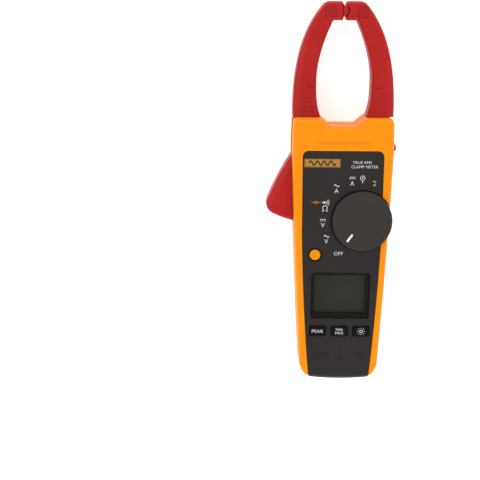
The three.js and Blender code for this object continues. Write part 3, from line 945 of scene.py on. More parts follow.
@dataclass(frozen=True)
class Laminated(Finish):
    """Stacked transformer iron, with the edges of its sheets in lines."""

    sheet: float = 0.5

    def mix(self) -> Shader:
        """Draw the sheet edges round the stack, with a little rust bloom."""
        shader = Shader(self.name)
        base = srgb(*self.colour)
        height = shader.axis(shader.place(), "Z")
        edge = (height * (2 * math.pi / self.sheet)).wave().stepped(0.55, 0.95)
        bloom = shader.noise(4, 4).stepped(0.5, 0.75)
        toned = shader.blend(edge * 0.75, base, scaled(base, 0.25))
        return shader.set(
            Base_Color=shader.blend(bloom * 0.35, toned, srgb(104, 74, 58)),
            Metallic=0.8,
            Roughness=0.42 + bloom * 0.25,
            Normal=shader.bump(1 - edge, 0.05),
        )


@dataclass(frozen=True)
class Circuit(Finish):
    """A green circuit board with copper tracks under its mask."""

    track: float = 2.2

    def mix(self) -> Shader:
        """Run tracks under the mask along both axes, with tinned pads."""
        shader = Shader(self.name)
        base = srgb(*self.colour)
        places = shader.place()
        bend = shader.noise(9, 0)
        x = shader.axis(places, "X") + (bend > 0.5) * 1.1
        y = shader.axis(places, "Y")
        tracks = (x * (2 * math.pi / self.track)).wave().stepped(0.2, 0.45) * (bend > 0.44)
        cross = (y * (2 * math.pi / (self.track * 1.7))).wave().stepped(0.6, 0.8) * (1 - (bend > 0.46))
        copper = (tracks + cross) * shader.noise(5, 1).stepped(0.45, 0.5)
        return shader.set(
            Base_Color=shader.blend(copper * 0.6, base, srgb(64, 118, 70)),
            Roughness=0.3 + shader.noise(2, 2) * 0.15,
            Normal=shader.bump(copper, 0.035),
            Coat_Weight=0.3,
        )


@dataclass(frozen=True)
class Sleeve(Finish):
    """A cell's printed sleeve, with a copper-coloured end."""

    band: float = 66.0

    def mix(self) -> Shader:
        """Paint one end of the cell and leave the other dark."""
        shader = Shader(self.name)
        along = shader.axis(shader.place(), "Y")
        end = along.stepped(self.band, self.band + 0.3)
        crease = shader.noise(1.2, 3, shader.place((1.0, 0.2, 1.0)))
        return shader.set(
            Base_Color=shader.blend(end, srgb(*self.colour), srgb(176, 112, 62)),
            Metallic=0.35,
            Roughness=0.3 + crease * 0.15,
            Normal=shader.bump(crease, 0.01),
        )


ORANGE = Moulded("orange_shell", "orange_shell", (233, 136, 0), 0.40, 0.38, 0.010, 0.03, 0.4, 0.12)
ORANGE_KEY = Moulded("orange_button", "orange_button", (230, 132, 0), 0.38, 0.3, 0.006, 0.02, 0.3, 0.12)
RED = Moulded("red_jaw", "red_jaw", (166, 20, 16), 0.40, 0.36, 0.010, 0.05, 0.5, 0.2)
# A darker copy of the jaws' red: painted shade that makes the moulded marks show.
RED_RELIEF_SHADE = Moulded("red_relief_shade", "red_jaw", (104, 8, 8), 0.5, 0.36, 0.010, 0.05, 0.3)
PANEL = Moulded("dark_panel", "dark_panel", (31, 26, 24), 0.42, 0.30, 0.012, 0.06, 0.4, 0.25)
# A darker copy of the panel's plastic: painted shade that makes the moulded jack marks show.
PANEL_MARK_SHADE = Moulded("panel_mark_shade", "dark_panel", (22, 19, 19), 0.36, 0.30, 0.006, 0.06, 0.4)
KNOB = Moulded("dark_knob", "dark_knob", (40, 36, 33), 0.52, 0.34, 0.016, 0.06, 0.5)
KEY_CAP = Moulded("key_rubber", "key_rubber", (7, 5, 5), 0.4, 0.25, 0.006, 0.08, 0.3, 0.12)
BLACK = Moulded("black_plastic", "black_plastic", (20, 19, 20), 0.5, 0.35, 0.014, 0.08, 0.6)
# Black plastic of the inner parts, and the colour of the painted-shade sheet under the panel.
INNER_BLACK_AND_SHADE = Moulded("inner_black_and_shade", "black_plastic", (14, 13, 13), 0.6, 0.5, 0.02, 0.08, 0.2, 0.15)
WHITE_INK = Printed("white_ink", "white_mark", (206, 205, 202))
ORANGE_INK = Printed("orange_ink", "orange_button", (206, 122, 12))
DARK_INK = Printed("dark_ink", "dark_panel", (36, 24, 10))
MARK = Moulded("white_mark", "white_mark", (226, 222, 210), 0.4, 0.3, 0.004, 0.03, 0.5)
BADGE = Foil("amber_badge", "amber_badge", (172, 118, 26))
WINDOW = Clear("clear_window", "clear_window", (22, 23, 20))
GLASS = Display("lcd", "lcd", (48, 48, 38))
BRASS = Metal("brass", "brass", (206, 164, 88), 0.26, (1.0, 4.0, 1.0))
STEEL = Metal("steel", "steel", (176, 176, 178), 0.3)
COPPER = Winding("copper", "copper", (190, 104, 56))
IRON = Laminated("core_iron", "core_iron", (120, 120, 124))
BOARD = Circuit("board", "board", (22, 78, 44))
CELL = Sleeve("cell_can", "cell_can", (34, 34, 38))


# ---- drawing on the front face ----


def lettering(
    name: str, words: str, centre: Flat, size: float, height: float, thick: float = 0.05,
    spread: float = 1.0, lead: float = 0.82,
) -> Solid:
    """Set a word as a thin raised piece.

    Args:
        name: What the piece is called.
        words: Generic text.
        centre: Where its middle is.
        size: Height of a line.
        height: Height of its underside over the rear face.
        thick: How far it stands up.
        spread: How far apart the letters stand, as a share of the usual.
        lead: How far apart the lines stand, likewise.

    Returns:
        The letters.
    """
    clear_bench()
    bpy.ops.object.text_add(location=(0, 0, 0))
    text = bpy.context.object
    text.data.body = words
    text.data.size = size * MM
    text.data.align_x = "CENTER"
    text.data.align_y = "CENTER"
    text.data.space_line = lead
    text.data.space_character = spread
    text.data.extrude = thick * MM / 2
    text.data.resolution_u = 4
    bpy.ops.object.convert(target="MESH")
    solid = Solid(bpy.context.object, name)
    corners = [vertex.co for vertex in solid.thing.data.vertices]
    middle = Vector(
        (min(c[i] for c in corners) + max(c[i] for c in corners)) / 2 for i in range(2)
    ).to_3d()
    solid.thing.data.transform(Matrix.Translation(spot(*centre, height + thick / 2) - middle))
    return solid.outward()


def stroke(
    name: str, path: Sequence[Flat], width: float, height: float, thick: float = 0.05,
) -> Solid:
    """Lay a printed line of even width along a path.

    Args:
        name: What the piece is called.
        path: The places it runs through.
        width: Its width.
        height: Height of its underside.
        thick: How far it stands up.

    Returns:
        The line.
    """
    sides: list[list[Flat]] = [[], []]
    for i, here in enumerate(path):
        run = Vector(path[min(i + 1, len(path) - 1)]) - Vector(path[max(i - 1, 0)])
        across = Vector((-run.y, run.x)).normalized() * width / 2
        sides[0].append((here[0] - across.x, here[1] - across.y))
        sides[1].append((here[0] + across.x, here[1] + across.y))
    return Solid.plate(name, sides[0] + sides[1][::-1], height, height + thick)


def sine(centre: Flat, length: float, swing: float, steps: int = 14) -> list[Flat]:
    """Draw one period of a wave round a middle."""
    return [
        (centre[0] + length * (i / steps - 0.5), centre[1] + swing * math.sin(2 * math.pi * i / steps))
        for i in range(steps + 1)
    ]


def ring(centre: Flat, radius: float, start: float, stop: float, steps: int = 18) -> list[Flat]:
    """Draw part of a circle, with angles in degrees."""
    return Outline(*centre).arc(centre, radius, start, stop, steps).points[1:]


# ---- the case ----


@dataclass
class Casework:
    """The two case shells, the battery door and what shows on the sides."""

    waist: float = 32.7
    foot: float = 25.9
    foot_half: float = 20.6
    foot_rise: float = 1.2
    top: float = 172.8
    corner: float = 3.2
    throat_half: float = 8.6
    throat_floor: float = 167.6
    throat_mouth: float = 14.6
    front: float = 36.0
    parting: float = 18.0
    split: float = 0.15
    roof: float = 32.4
    wall: float = 2.4
    shoulder: Flat = (2.6, 4.6)
    heel: Flat = (2.6, 4.0)
    recess: float = 34.4
    gap: float = 0.3
    slot: Flat = (9.15, 26.85)
    boss: float = 3.6
    bore: float = 1.6
    screw_head: float = 3.1
    pin: float = 2.3
    pin_boss: float = 4.6
    pivot: Flat = (-22.0, 153.0)
    screws: tuple[Flat, ...] = ((-24, 97.5), (24, 97.5), (-21.6, 13), (21.6, 13), (24, 161))
    groove_at: float = 157.4
    groove: Place = (19.0, 1.3, 0.8)
    door: tuple[float, float, float, float] = (21.0, 18.0, 92.0, 1.5)
    door_screw: float = 86.0
    finger_grooves: tuple[float, ...] = (70.0, 72.4, 74.8, 77.2)
    barrier: Place = (150.9, 158.9, 34.6)
    hold: tuple[float, float, float, float, float] = (137.4, 149.4, 14.0, 22.0, 33.7)

    def outline(self) -> list[Flat]:
        """Outline the case: a convex foot, widening sides, the shoulders and the throat."""
        side = self.waist - 0.3
        shape = Outline(-self.foot_half, self.foot_rise)
        shape.quad((0, -self.foot_rise), (self.foot_half, self.foot_rise), 16)
        shape.quad((self.foot_half + 3.6, 2.8), (self.foot, 9), 8)
        shape.quad((30.2, 78), (self.waist, 152), 20)
        shape.line((side, self.top - self.corner))
        shape.arc((side - self.corner, self.top - self.corner), self.corner, 0, 90, 8)
        shape.line((self.throat_mouth, self.top), (self.throat_half, self.throat_floor))
        shape.line((-self.throat_half, self.throat_floor), (-self.throat_mouth, self.top))
        shape.arc((self.corner - side, self.top - self.corner), self.corner, 90, 180, 8)
        shape.line((-self.waist, 152))
        shape.quad((-30.2, 78), (-self.foot, 9), 20)
        shape.quad((-self.foot_half - 3.6, 2.8), (-self.foot_half, self.foot_rise), 8)
        return shape.closed()

    def openings(self) -> list[Solid]:
        """Make the cutters that both shells share."""
        gap = self.gap
        tab_low, tab_high, _out = self.barrier
        hold_low, hold_high, back, front, _out = self.hold
        return [
            Solid.box("tool", (-45, -17.25), (103.6, 180), self.slot),
            Solid.box("tool", (17.25, 45), (self.top - 4, 180), self.slot),
            Solid.box("tool", (28, 45), (tab_low - gap, tab_high + gap), self.slot),
            Solid.box("tool", (28, 45), (hold_low - gap, hold_high + gap), (back - gap, front + gap)),
            Solid.box("tool", (-19.5, 19.5), (-5, 6), (11.7, 28.3)),
        ]

    def pegs(self, foot: float, radius: float, length: float, sides: int = 32) -> list[Solid]:
        """Make a bar at each case screw.

        Args:
            foot: Height of their lower ends.
            radius: Their radius.
            length: Their length.
            sides: Facets round each.

        Returns:
            The bars.
        """
        return [Solid.peg("tool", (x, y, foot), radius, length, sides=sides) for x, y in self.screws]

    def build_front(self, face: "FrontFace", dial: "Selector") -> None:
        """Build the front shell with its seats for the panel, dial, keys and window."""
        outline = self.outline()
        foot = self.parting + self.split
        shell = Solid.loft("front_shell", [
            (outline, foot),
            *((inset(outline, run), self.front - drop) for run, drop in rounding(*self.shoulder, 8)),
        ])
        shell.cut(Solid.plate("tool", inset(outline, self.wall), self.parting - 1, self.roof))
        shell.weld(
            *self.pegs(foot, self.boss, 14.8),
            Solid.peg("tool", (*self.pivot, self.slot[1]), self.pin_boss, 6.0),
        )
        chin = Solid.box("tool", (-19.9, 19.9), (-3, 5), (28.3, 40))
        chin.cut(Solid.plate("tool", inset(outline, 1.5), 20, 50))
        clear_bench()
        bpy.ops.mesh.primitive_uv_sphere_add(
            segments=48, ring_count=24, radius=1, location=spot(0, self.groove_at, self.front),
            scale=Vector(self.groove) * MM,
        )
        groove = Solid(bpy.context.object, "tool")
        shell.cut(
            *self.openings(),
            *self.pegs(self.parting - 1, self.bore, 13.5, 16),
            Solid.plate("tool", inset(face.outline(), -self.gap), self.recess, 40), chin,
            Solid.peg("tool", (*dial.centre, self.recess), dial.well, 16, sides=96),
            Solid.peg("tool", (*dial.centre, self.roof - 1), dial.spindle + 0.4, 8, sides=40),
            Solid.peg("tool", (*face.shift, self.roof - 1), face.shift_radius + self.gap, 8, sides=40),
            Solid.peg("tool", (*self.pivot, self.slot[1] - 1), self.pin, 5.75, sides=24),
            Solid.plate("tool", rounded_box(*face.glass, 1.5), self.roof - 1, 40),
            *face.key_holes(self.gap, self.roof - 1),
            groove,
        )
        shell.tidy(0.22).fit(ORANGE, Body.CASE, "front_case")

    def build_rear(self) -> None:
        """Build the rear shell with the battery bay and the screw wells."""
        outline = self.outline()
        top = self.parting - self.split
        shell = Solid.loft("rear_shell", [
            *((inset(outline, run), drop) for run, drop in reversed(rounding(*self.heel, 8))),
            (outline, top),
        ])
        shell.cut(Solid.plate("tool", inset(outline, self.wall), self.wall, self.parting + 1))
        floor = self.wall - 0.5
        shell.weld(
            *self.pegs(floor, 4.4, top - floor),
            Solid.peg("tool", (*self.pivot, floor), self.pin_boss, self.slot[0] - floor),
            Solid.peg("tool", (0, self.door_screw, floor), 4.0, 7.1),
        )
        half, low, high, thick = self.door
        edge = self.gap
        seat = rounded_box(-half - edge, half + edge, low - edge, high + edge, 3)
        shell.cut(
            *self.openings(),
            *self.pegs(-1, self.bore, 20, 16),
            *self.pegs(-1, self.screw_head, 4.4),
            Solid.plate("tool", seat, -1, thick + edge),
            Solid.box("tool", (-17.6, 17.6), (23, 81.8), (-1, self.wall + 1)),
            Solid.peg("tool", (0, self.door_screw, -1), self.bore, 9, sides=16),
            Solid.peg("tool", (*self.pivot, 2.6), self.pin, 8, sides=24),
        )
        shell.tidy(0.22).fit(ORANGE, Body.CASE, "rear_case")

    def build_door(self) -> None:
        """Build the battery door with its finger grooves and screw well."""
        half, low, high, thick = self.door
        door = Solid.plate("battery_cover", rounded_box(-half, half, low, high, 2.7), 0, thick)
        grooves = [
            Solid.plate("tool", rounded_box(-11, 11, y - 0.55, y + 0.55, 0.5, 4), -1, 0.45)
            for y in self.finger_grooves
        ]
        door.cut(
            *grooves,
            Solid.peg("tool", (0, self.door_screw, -1), self.bore, 4, sides=24),
            Solid.peg("tool", (0, self.door_screw, -1), 3.0, 1.9, sides=32),
        )
        door.tidy(0.2).fit(BLACK, Body.CASE, "battery_door")

    def build_sides(self) -> None:
        """Build the guard ridge and the hold button on the right side."""
        low, high, out = self.barrier
        section = [
            (30.1, low), (out - 0.8, low), (out, low + 0.8), (out, low + 3.4), (32.4, high), (30.1, high),
        ]
        ridge = Solid.plate("guard_ridge", section, 9.5, 26.5)
        ridge.bevel_where(0.9, 5, lambda at, _normal: at.x > 32.2 and (at.z < 9.6 or at.z > 26.4))
        ridge.tidy(0.25, 3).fit(RED, Body.CASE, "barrier_tab")
        low, high, back, front, out = self.hold
        button = Solid.box("hold_cap", (29.3, out), (low, high), (back, front))
        button.bevel_where(1.4, 5, lambda at, normal: at.x < out - 0.1 and abs(normal.x) < 0.1)
        button.inset_where(1.0, -0.25, lambda at, normal: normal.x > 0.9 and at.x > out - 0.1)
        flange = Solid.box("tool", (28, 29.4), (low - 1.5, high + 1.5), (back - 1.5, front + 1.5))
        button.weld(flange).tidy(0.25, 3).fit(KEY_CAP, Body.HOLD, "hold_button")


# ---- the front face ----


@dataclass
class FrontFace:
    """The dark panel with its window, keys, badge and printing."""

    half: float = 25.8
    top: float = 152.0
    foot: float = 19.6
    corner: float = 4.0
    low: float = 34.7
    front: float = 36.1
    chin: float = 1.2
    chin_low: float = 28.6
    fold: float = 2.4
    trim: float = 0.12
    collar_low: float = 31.7
    display: tuple[float, float, float, float] = (-19.2, 19.2, 41.4, 72.5)
    glass: tuple[float, float, float, float] = (-17.6, 17.0, 44.4, 71.0)
    shift: Flat = (-17.0, 84.4)
    shift_radius: float = 3.5
    key_y: float = 33.0
    key_pitch: float = 14.3
    key_size: Flat = (10.8, 6.6)
    key_top: float = 36.9
    flange: Flat = (31.2, 32.1)
    badge: tuple[float, float, float, float] = (-24.9, -1.9, 141.8, 147.2)
    print_height: float = 36.09

    def outline(self) -> list[Flat]:
        """Outline the panel."""
        rise = Casework.foot_rise * (self.foot / Casework.foot_half) ** 2
        shape = Outline(-self.foot, rise)
        shape.quad((0, -rise), (self.foot, rise), 16)
        shape.quad((23.6, 42), (self.half - 0.3, 96), 18)
        shape.line((self.half, self.top - self.corner))
        shape.quad((self.half, self.top), (self.half - self.corner, self.top), 10)
        shape.line((self.corner - self.half, self.top))
        shape.quad((-self.half, self.top), (-self.half, self.top - self.corner), 10)
        shape.line((0.3 - self.half, 96))
        shape.quad((-23.6, 42), (-self.foot, rise), 18)
        return shape.closed()

    def key_places(self) -> tuple[float, float, float]:
        """Give the keys' middles, from left to right."""
        return (-self.key_pitch, 0.0, self.key_pitch)

    def key_outline(self, x: float, grow: float = 0.0) -> list[Flat]:
        """Outline the key at `x`, grown by `grow`."""
        wide, tall = (side / 2 + grow for side in self.key_size)
        return rounded_box(x - wide, x + wide, self.key_y - tall, self.key_y + tall, 1.3 + grow, 6)

    def key_holes(self, grow: float, low: float) -> list[Solid]:
        """Make a cutter for each key, wider by `grow`, from a height upwards."""
        return [Solid.plate("tool", self.key_outline(x, grow), low, 40) for x in self.key_places()]

    def build_panel(self, case: Casework, dial: "Selector") -> None:
        """Build the panel, which folds over the jack end."""
        outline = case.outline()
        panel = Solid.loft("face_panel", [
            (outline, self.chin_low),
            *((inset(outline, run), self.front - drop) for run, drop in rounding(self.fold, self.fold, 6)),
        ])
        panel.keep_inside(Solid.plate("tool", self.outline(), self.chin_low - 1, 40))
        panel.cut(
            Solid.plate("tool", inset(outline, self.chin), 20, self.low),
            Solid.peg("tool", (*dial.centre, 30), dial.well, 20, sides=96),
            Solid.peg("tool", (*self.shift, 30), self.shift_radius + 0.3, 10, sides=48),
            Solid.plate("tool", rounded_box(*self.display, 1.8), 30, 40),
            *self.key_holes(0.3, 30),
        )
        panel.tidy(0.3, 3).fit(PANEL, Body.CASE, "front_panel")

    def build_shade_sheet(self, case: Casework, dial: "Selector") -> None:
        """Build the black sheet that lies under the panel and lines the display's opening, as painted shade in the
        gaps round the dial, keys, shift button and window.
        """
        low, high = case.recess + 0.02, self.low - 0.04
        sheet = Solid.plate("panel_shade_sheet", inset(self.outline(), 0.12), low, high)
        disc = Solid.peg("tool", (*dial.centre, low), dial.well - 0.1, high - low, sides=96)
        disc.keep_inside(Solid.plate("tool", inset(case.outline(), 1.9), low - 1, high + 1))
        sheet.weld(disc)
        sheet.cut(
            Solid.peg("tool", (*dial.centre, 30), 8.9, 20, sides=64),
            Solid.peg("tool", (*self.shift, 30), self.shift_radius + self.trim, 10, sides=48),
            Solid.plate("tool", rounded_box(*self.glass, 1.5), 30, 40),
            *self.key_holes(self.trim, 30),
        )
        left, right, near, far = self.glass
        outer, inner = (
            rounded_box(left + edge, right - edge, near + edge, far - edge, 1.5 - edge)
            for edge in (0.05, 0.4)
        )
        collar = Solid.plate("tool", outer, self.collar_low, high)
        collar.cut(Solid.plate("tool", inner, 30, 40))
        sheet.gather(collar)
        # The sheet is painted shade: a dark layer where the gaps would otherwise show the orange case.
        sheet.tidy(0).fit(INNER_BLACK_AND_SHADE, Body.CASE)

    def build_window(self) -> None:
        """Build the clear window."""
        left, right, low, high = self.display
        edge = 0.35
        inner = rounded_box(left + edge, right - edge, low + edge, high - edge, 1.5)
        pane = Solid.plate("window_pane", inner, self.low, 35.3)
        pane.tidy(0.12).fit(WINDOW, Body.CASE, "display_window")

    def build_keys(self) -> None:
        """Build the three keys, each with its legend, and the round shift button."""
        bodies = (Body.PEAK, Body.MIN_MAX, Body.LIGHT)
        nodes = ("key_peak", "key_min_max", "key_light")
        low, high = self.flange
        for x, body, node in zip(self.key_places(), bodies, nodes):
            outline = self.key_outline(x)
            rings = [
                (inset(outline, run), self.key_top - drop) for run, drop in rounding(0.6, 0.7, 4)
            ]
            cap = Solid.loft(f"{node}_cap", [(outline, high - 0.2), *rings])
            cap.inset_where(
                0.5, -0.12, lambda at, normal: normal.z > 0.9 and at.z > self.key_top - 0.05,
            )
            width, depth = 12.8, 8.4
            base = Solid.box(
                "tool", (x - width / 2, x + width / 2),
                (self.key_y - depth / 2, self.key_y + depth / 2), self.flange,
            )
            cap.weld(base).tidy(0.15).fit(KEY_CAP, body, node)
        top = self.key_top - 0.125
        peak, middle, light = self.key_places()
        lettering("key_peak_legend", "PEAK", (peak, self.key_y), 3.1, top, spread=1.12).fit(WHITE_INK, Body.PEAK)
        both = lettering(
            "key_min_max_legend", "MIN\nMAX", (middle, self.key_y), 2.5, top, spread=1.08, lead=0.92,
        )
        both.fit(WHITE_INK, Body.MIN_MAX)
        self._sun("key_light_legend", (light, self.key_y), top).fit(WHITE_INK, Body.LIGHT)
        radius = self.shift_radius
        profile = [
            (0, low), (4.5, low), (4.5, high), (radius, high),
            *((radius - run, self.key_top - drop) for run, drop in rounding(0.9, 0.9, 6)),
            (1.9, self.key_top - 0.14), (0.9, self.key_top - 0.24), (0, self.key_top - 0.26),
        ]
        button = Solid.turned("shift_cap", (*self.shift, 0), profile, sides=56)
        button.tidy(0).fit(ORANGE_KEY, Body.SHIFT, "shift_button")
        bezel = Solid.peg("shift_bezel", (*self.shift, self.front - 0.02), radius + 1.0, 0.3, sides=64)
        bezel.cut(Solid.peg("tool", (*self.shift, 30), radius + 0.14, 10, sides=64))
        bezel.tidy(0.1).fit(KEY_CAP, Body.CASE)

    @staticmethod
    def _sun(name: str, centre: Flat, height: float) -> Solid:
        """Draw a small sun: a ring and eight rays."""
        sun = stroke(name, ring(centre, 0.9, 0, 359, 20), 0.36, height)
        rays = [
            stroke("ray", [
                (centre[0] + reach * math.cos(angle), centre[1] + reach * math.sin(angle)) for reach in (1.75, 2.7)
            ], 0.3, height)
            for angle in (math.radians(45 * turn) for turn in range(8))
        ]
        return sun.gather(*rays)

    def build_badge(self) -> None:
        """Build the foil badge with a plain wave in place of any name."""
        left, right, low, high = self.badge
        foot, top = 36.15, 36.42
        plate = Solid.plate("badge_foil", rounded_box(left, right, low, high, 0.5, 4), foot, top)
        plate.tidy(0.08).fit(BADGE, Body.CASE, "badge_plate")
        middle = ((left + right) / 2, (low + high) / 2)
        path = [
            (middle[0] - 8.6 + 17.2 * i / 60, middle[1] + 1.35 * math.sin(2 * math.pi * 4 * i / 60))
            for i in range(61)
        ]
        stroke("badge_wave", path, 0.85, top - 0.01).fit(DARK_INK, Body.CASE)
        frame_line = rounded_box(left + 0.5, right - 0.5, low + 0.5, high - 0.5, 0.4, 3)
        border = stroke("badge_border", [*frame_line, frame_line[0]], 0.16, top - 0.01)
        border.fit(DARK_INK, Body.CASE)

    def build_printing(self) -> None:
        """Print the dial's functions in white and orange, and mould the jacks' marks in a darker copy of the
        panel's plastic, as painted shade for their relief.
        """
        at = self.print_height
        words = [
            ("OFF", (-1.8, 85.3), 3.3), ("V", (-9.9, 93.4), 4.0), ("V", (-12.4, 104.0), 4.0),
            ("A", (-4.0, 126.6), 4.0), ("A", (6.0, 131.5), 4.0), ("A", (20.3, 130.6), 2.6),
            ("TRUE RMS", (12.0, 145.0), 2.5), ("CLAMP METER", (13.7, 142.2), 2.5),
        ]
        first, *rest = [
            lettering("dial_print", text, centre, size, at, spread=1.1) for text, centre, size in words
        ]
        lines = [
            stroke("wave", sine(centre, 3.4, 0.6), 0.5, at) for centre in ((-9.8, 96.7), (-4.0, 129.9))
        ]
        lines.append(stroke("wave", sine((20.3, 132.8), 2.0, 0.35), 0.3, at))
        for x, y in ((-12.4, 107.3), (6.0, 134.9)):
            lines.append(stroke("bar", [(x - 1.8, y + 0.55), (x + 1.8, y + 0.55)], 0.38, at))
            lines += [
                stroke("dash", [(x + shift - 0.4, y - 0.45), (x + shift + 0.4, y - 0.45)], 0.38, at)
                for shift in (-1.4, 0, 1.4)
            ]
        omega = [
            (-13.1, 113.3), (-12.0, 113.3), (-12.0, 113.8), *ring((-11.2, 115.3), 1.5, 238, -58, 20),
            (-10.4, 113.8), (-10.4, 113.3), (-9.3, 113.3),
        ]
        lines.append(stroke("ohm", omega, 0.42, at))
        lines.append(stroke("horn", [(-12.9, 118.9), (-12.0, 118.9)], 1.0, at))
        bell = [(-12.1, 118.6), (-11.1, 117.8), (-11.1, 120.0), (-12.1, 119.2)]
        lines.append(Solid.plate("horn", bell, at, at + 0.05))
        lines += [
            stroke("sound", ring((-11.6, 118.9), reach, -38, 38, 8), 0.3, at) for reach in (1.4, 2.2, 3.0)
        ]
        lines.append(stroke("loop", ring((12.6, 134.9), 1.5, -68, 248, 26), 0.36, at))
        lines.append(stroke("loop_lead", [(12.6, 133.6), (12.6, 131.7)], 0.5, at))
        lines.append(stroke("loop_dot", ring((12.6, 134.9), 0.35, 0, 359, 10), 0.4, at))
        first.gather(*rest, *lines).fit(WHITE_INK, Body.CASE)
        x, y = (-17.0, 119.0)
        diode = stroke("diode_print", [(x - 3.0, y), (x + 3.0, y)], 0.34, at)
        diode.gather(
            Solid.plate("arrow", [(x - 1.0, y - 1.1), (x + 0.5, y), (x - 1.0, y + 1.1)], at, at + 0.05),
            stroke("bar", [(x + 0.7, y - 1.2), (x + 0.7, y + 1.2)], 0.36, at),
        ).fit(ORANGE_INK, Body.CASE)
        com = lettering("jack_marks", "COM", (-12.2, 16.3), 5.0, at, 0.16)
        com.gather(
            lettering("volts", "VΩ", (13.2, 16.3), 5.0, at, 0.16),
            stroke("shaft", [(0.6, 20.0), (0.6, 13.8)], 0.55, at, 0.16),
            stroke("head", [(-0.9, 15.2), (0.6, 13.2), (2.1, 15.2)], 0.55, at, 0.16),
        ).fit(PANEL_MARK_SHADE, Body.CASE)


# ---- the dial ----


@dataclass
class Selector:
    """The function dial with its pointer."""

    centre: Flat = (12.9, 107.0)
    radius: float = 19.5
    well: float = 20.2
    spindle: float = 5.0
    under: float = 35.0
    top: float = 39.5
    ledge: float = 15.3
    pointer: float = 234.0
    reach: Flat = (10.6, 16.3)
    pointer_half: float = 0.8
    floor: float = 38.5
    crown: float = 1.5
    flutes: int = 36

    def capsule(self, grow: float) -> list[Flat]:
        """Outline the pointer, with round ends, grown by `grow`."""
        turn = math.radians(self.pointer)
        along = Vector((math.cos(turn), math.sin(turn)))
        inner, outer = (
            Vector(self.centre) + along * (reach + sign * self.pointer_half * 0.6)
            for reach, sign in zip(self.reach, (1, -1))
        )
        radius = self.pointer_half + grow
        shape = Outline(*inner).arc(tuple(inner), radius, self.pointer + 90, self.pointer + 270, 10)
        shape.arc(tuple(outer), radius, self.pointer - 90, self.pointer + 90, 10)
        shape.points = shape.points[1:]
        return shape.closed()

    def build(self) -> None:
        """Build the knob, with a shallow ledge on top and fine flutes round its edge."""
        radius, top = self.radius, self.top
        seal = self.under + 0.9
        profile = [
            (0, 29), (3.2, 29), (self.spindle, 29.6), (self.spindle, self.under), (5.9, self.under),
            (5.9, seal), (8.6, seal), (8.6, self.under), (radius - 0.4, self.under),
            (radius, self.under + 0.4),
            *((radius - run, top - drop) for run, drop in rounding(self.crown, self.crown, 8)),
            (self.ledge + 0.5, top), (self.ledge + 0.1, top - 0.1), (self.ledge - 0.4, top - 0.38),
            (self.ledge - 0.9, top - 0.42), (0, top - 0.42),
        ]
        knob = Solid.turned("selector_knob", (*self.centre, 0), profile, sides=144)
        edge = (self.centre[0] + radius + 0.66, self.centre[1], self.under + 0.6)
        flute = Solid.peg("tool", edge, 0.95, 2.3, sides=16)
        turns = [flute.copy("tool") for _ in range(self.flutes - 1)]
        hub = spot(*self.centre, 0)
        for index, one in enumerate(turns, 1):
            turn = Matrix.Rotation(2 * math.pi * index / self.flutes, 4, "Z")
            one.thing.data.transform(Matrix.Translation(hub) @ turn @ Matrix.Translation(-hub))
        flute.gather(*turns)
        knob.cut(flute, Solid.plate("tool", self.capsule(0), self.floor, 45))
        knob.tidy(0.14).fit(KNOB, Body.DIAL, "dial_knob")
        marker = Solid.plate("pointer_inlay", self.capsule(-0.08), self.floor + 0.1, self.top - 0.1)
        marker.bevel_where(0.2, 3, lambda at, _normal: at.z > self.top - 0.11)
        marker.tidy(0).fit(MARK, Body.DIAL, "dial_marker")


# ---- the jaws ----


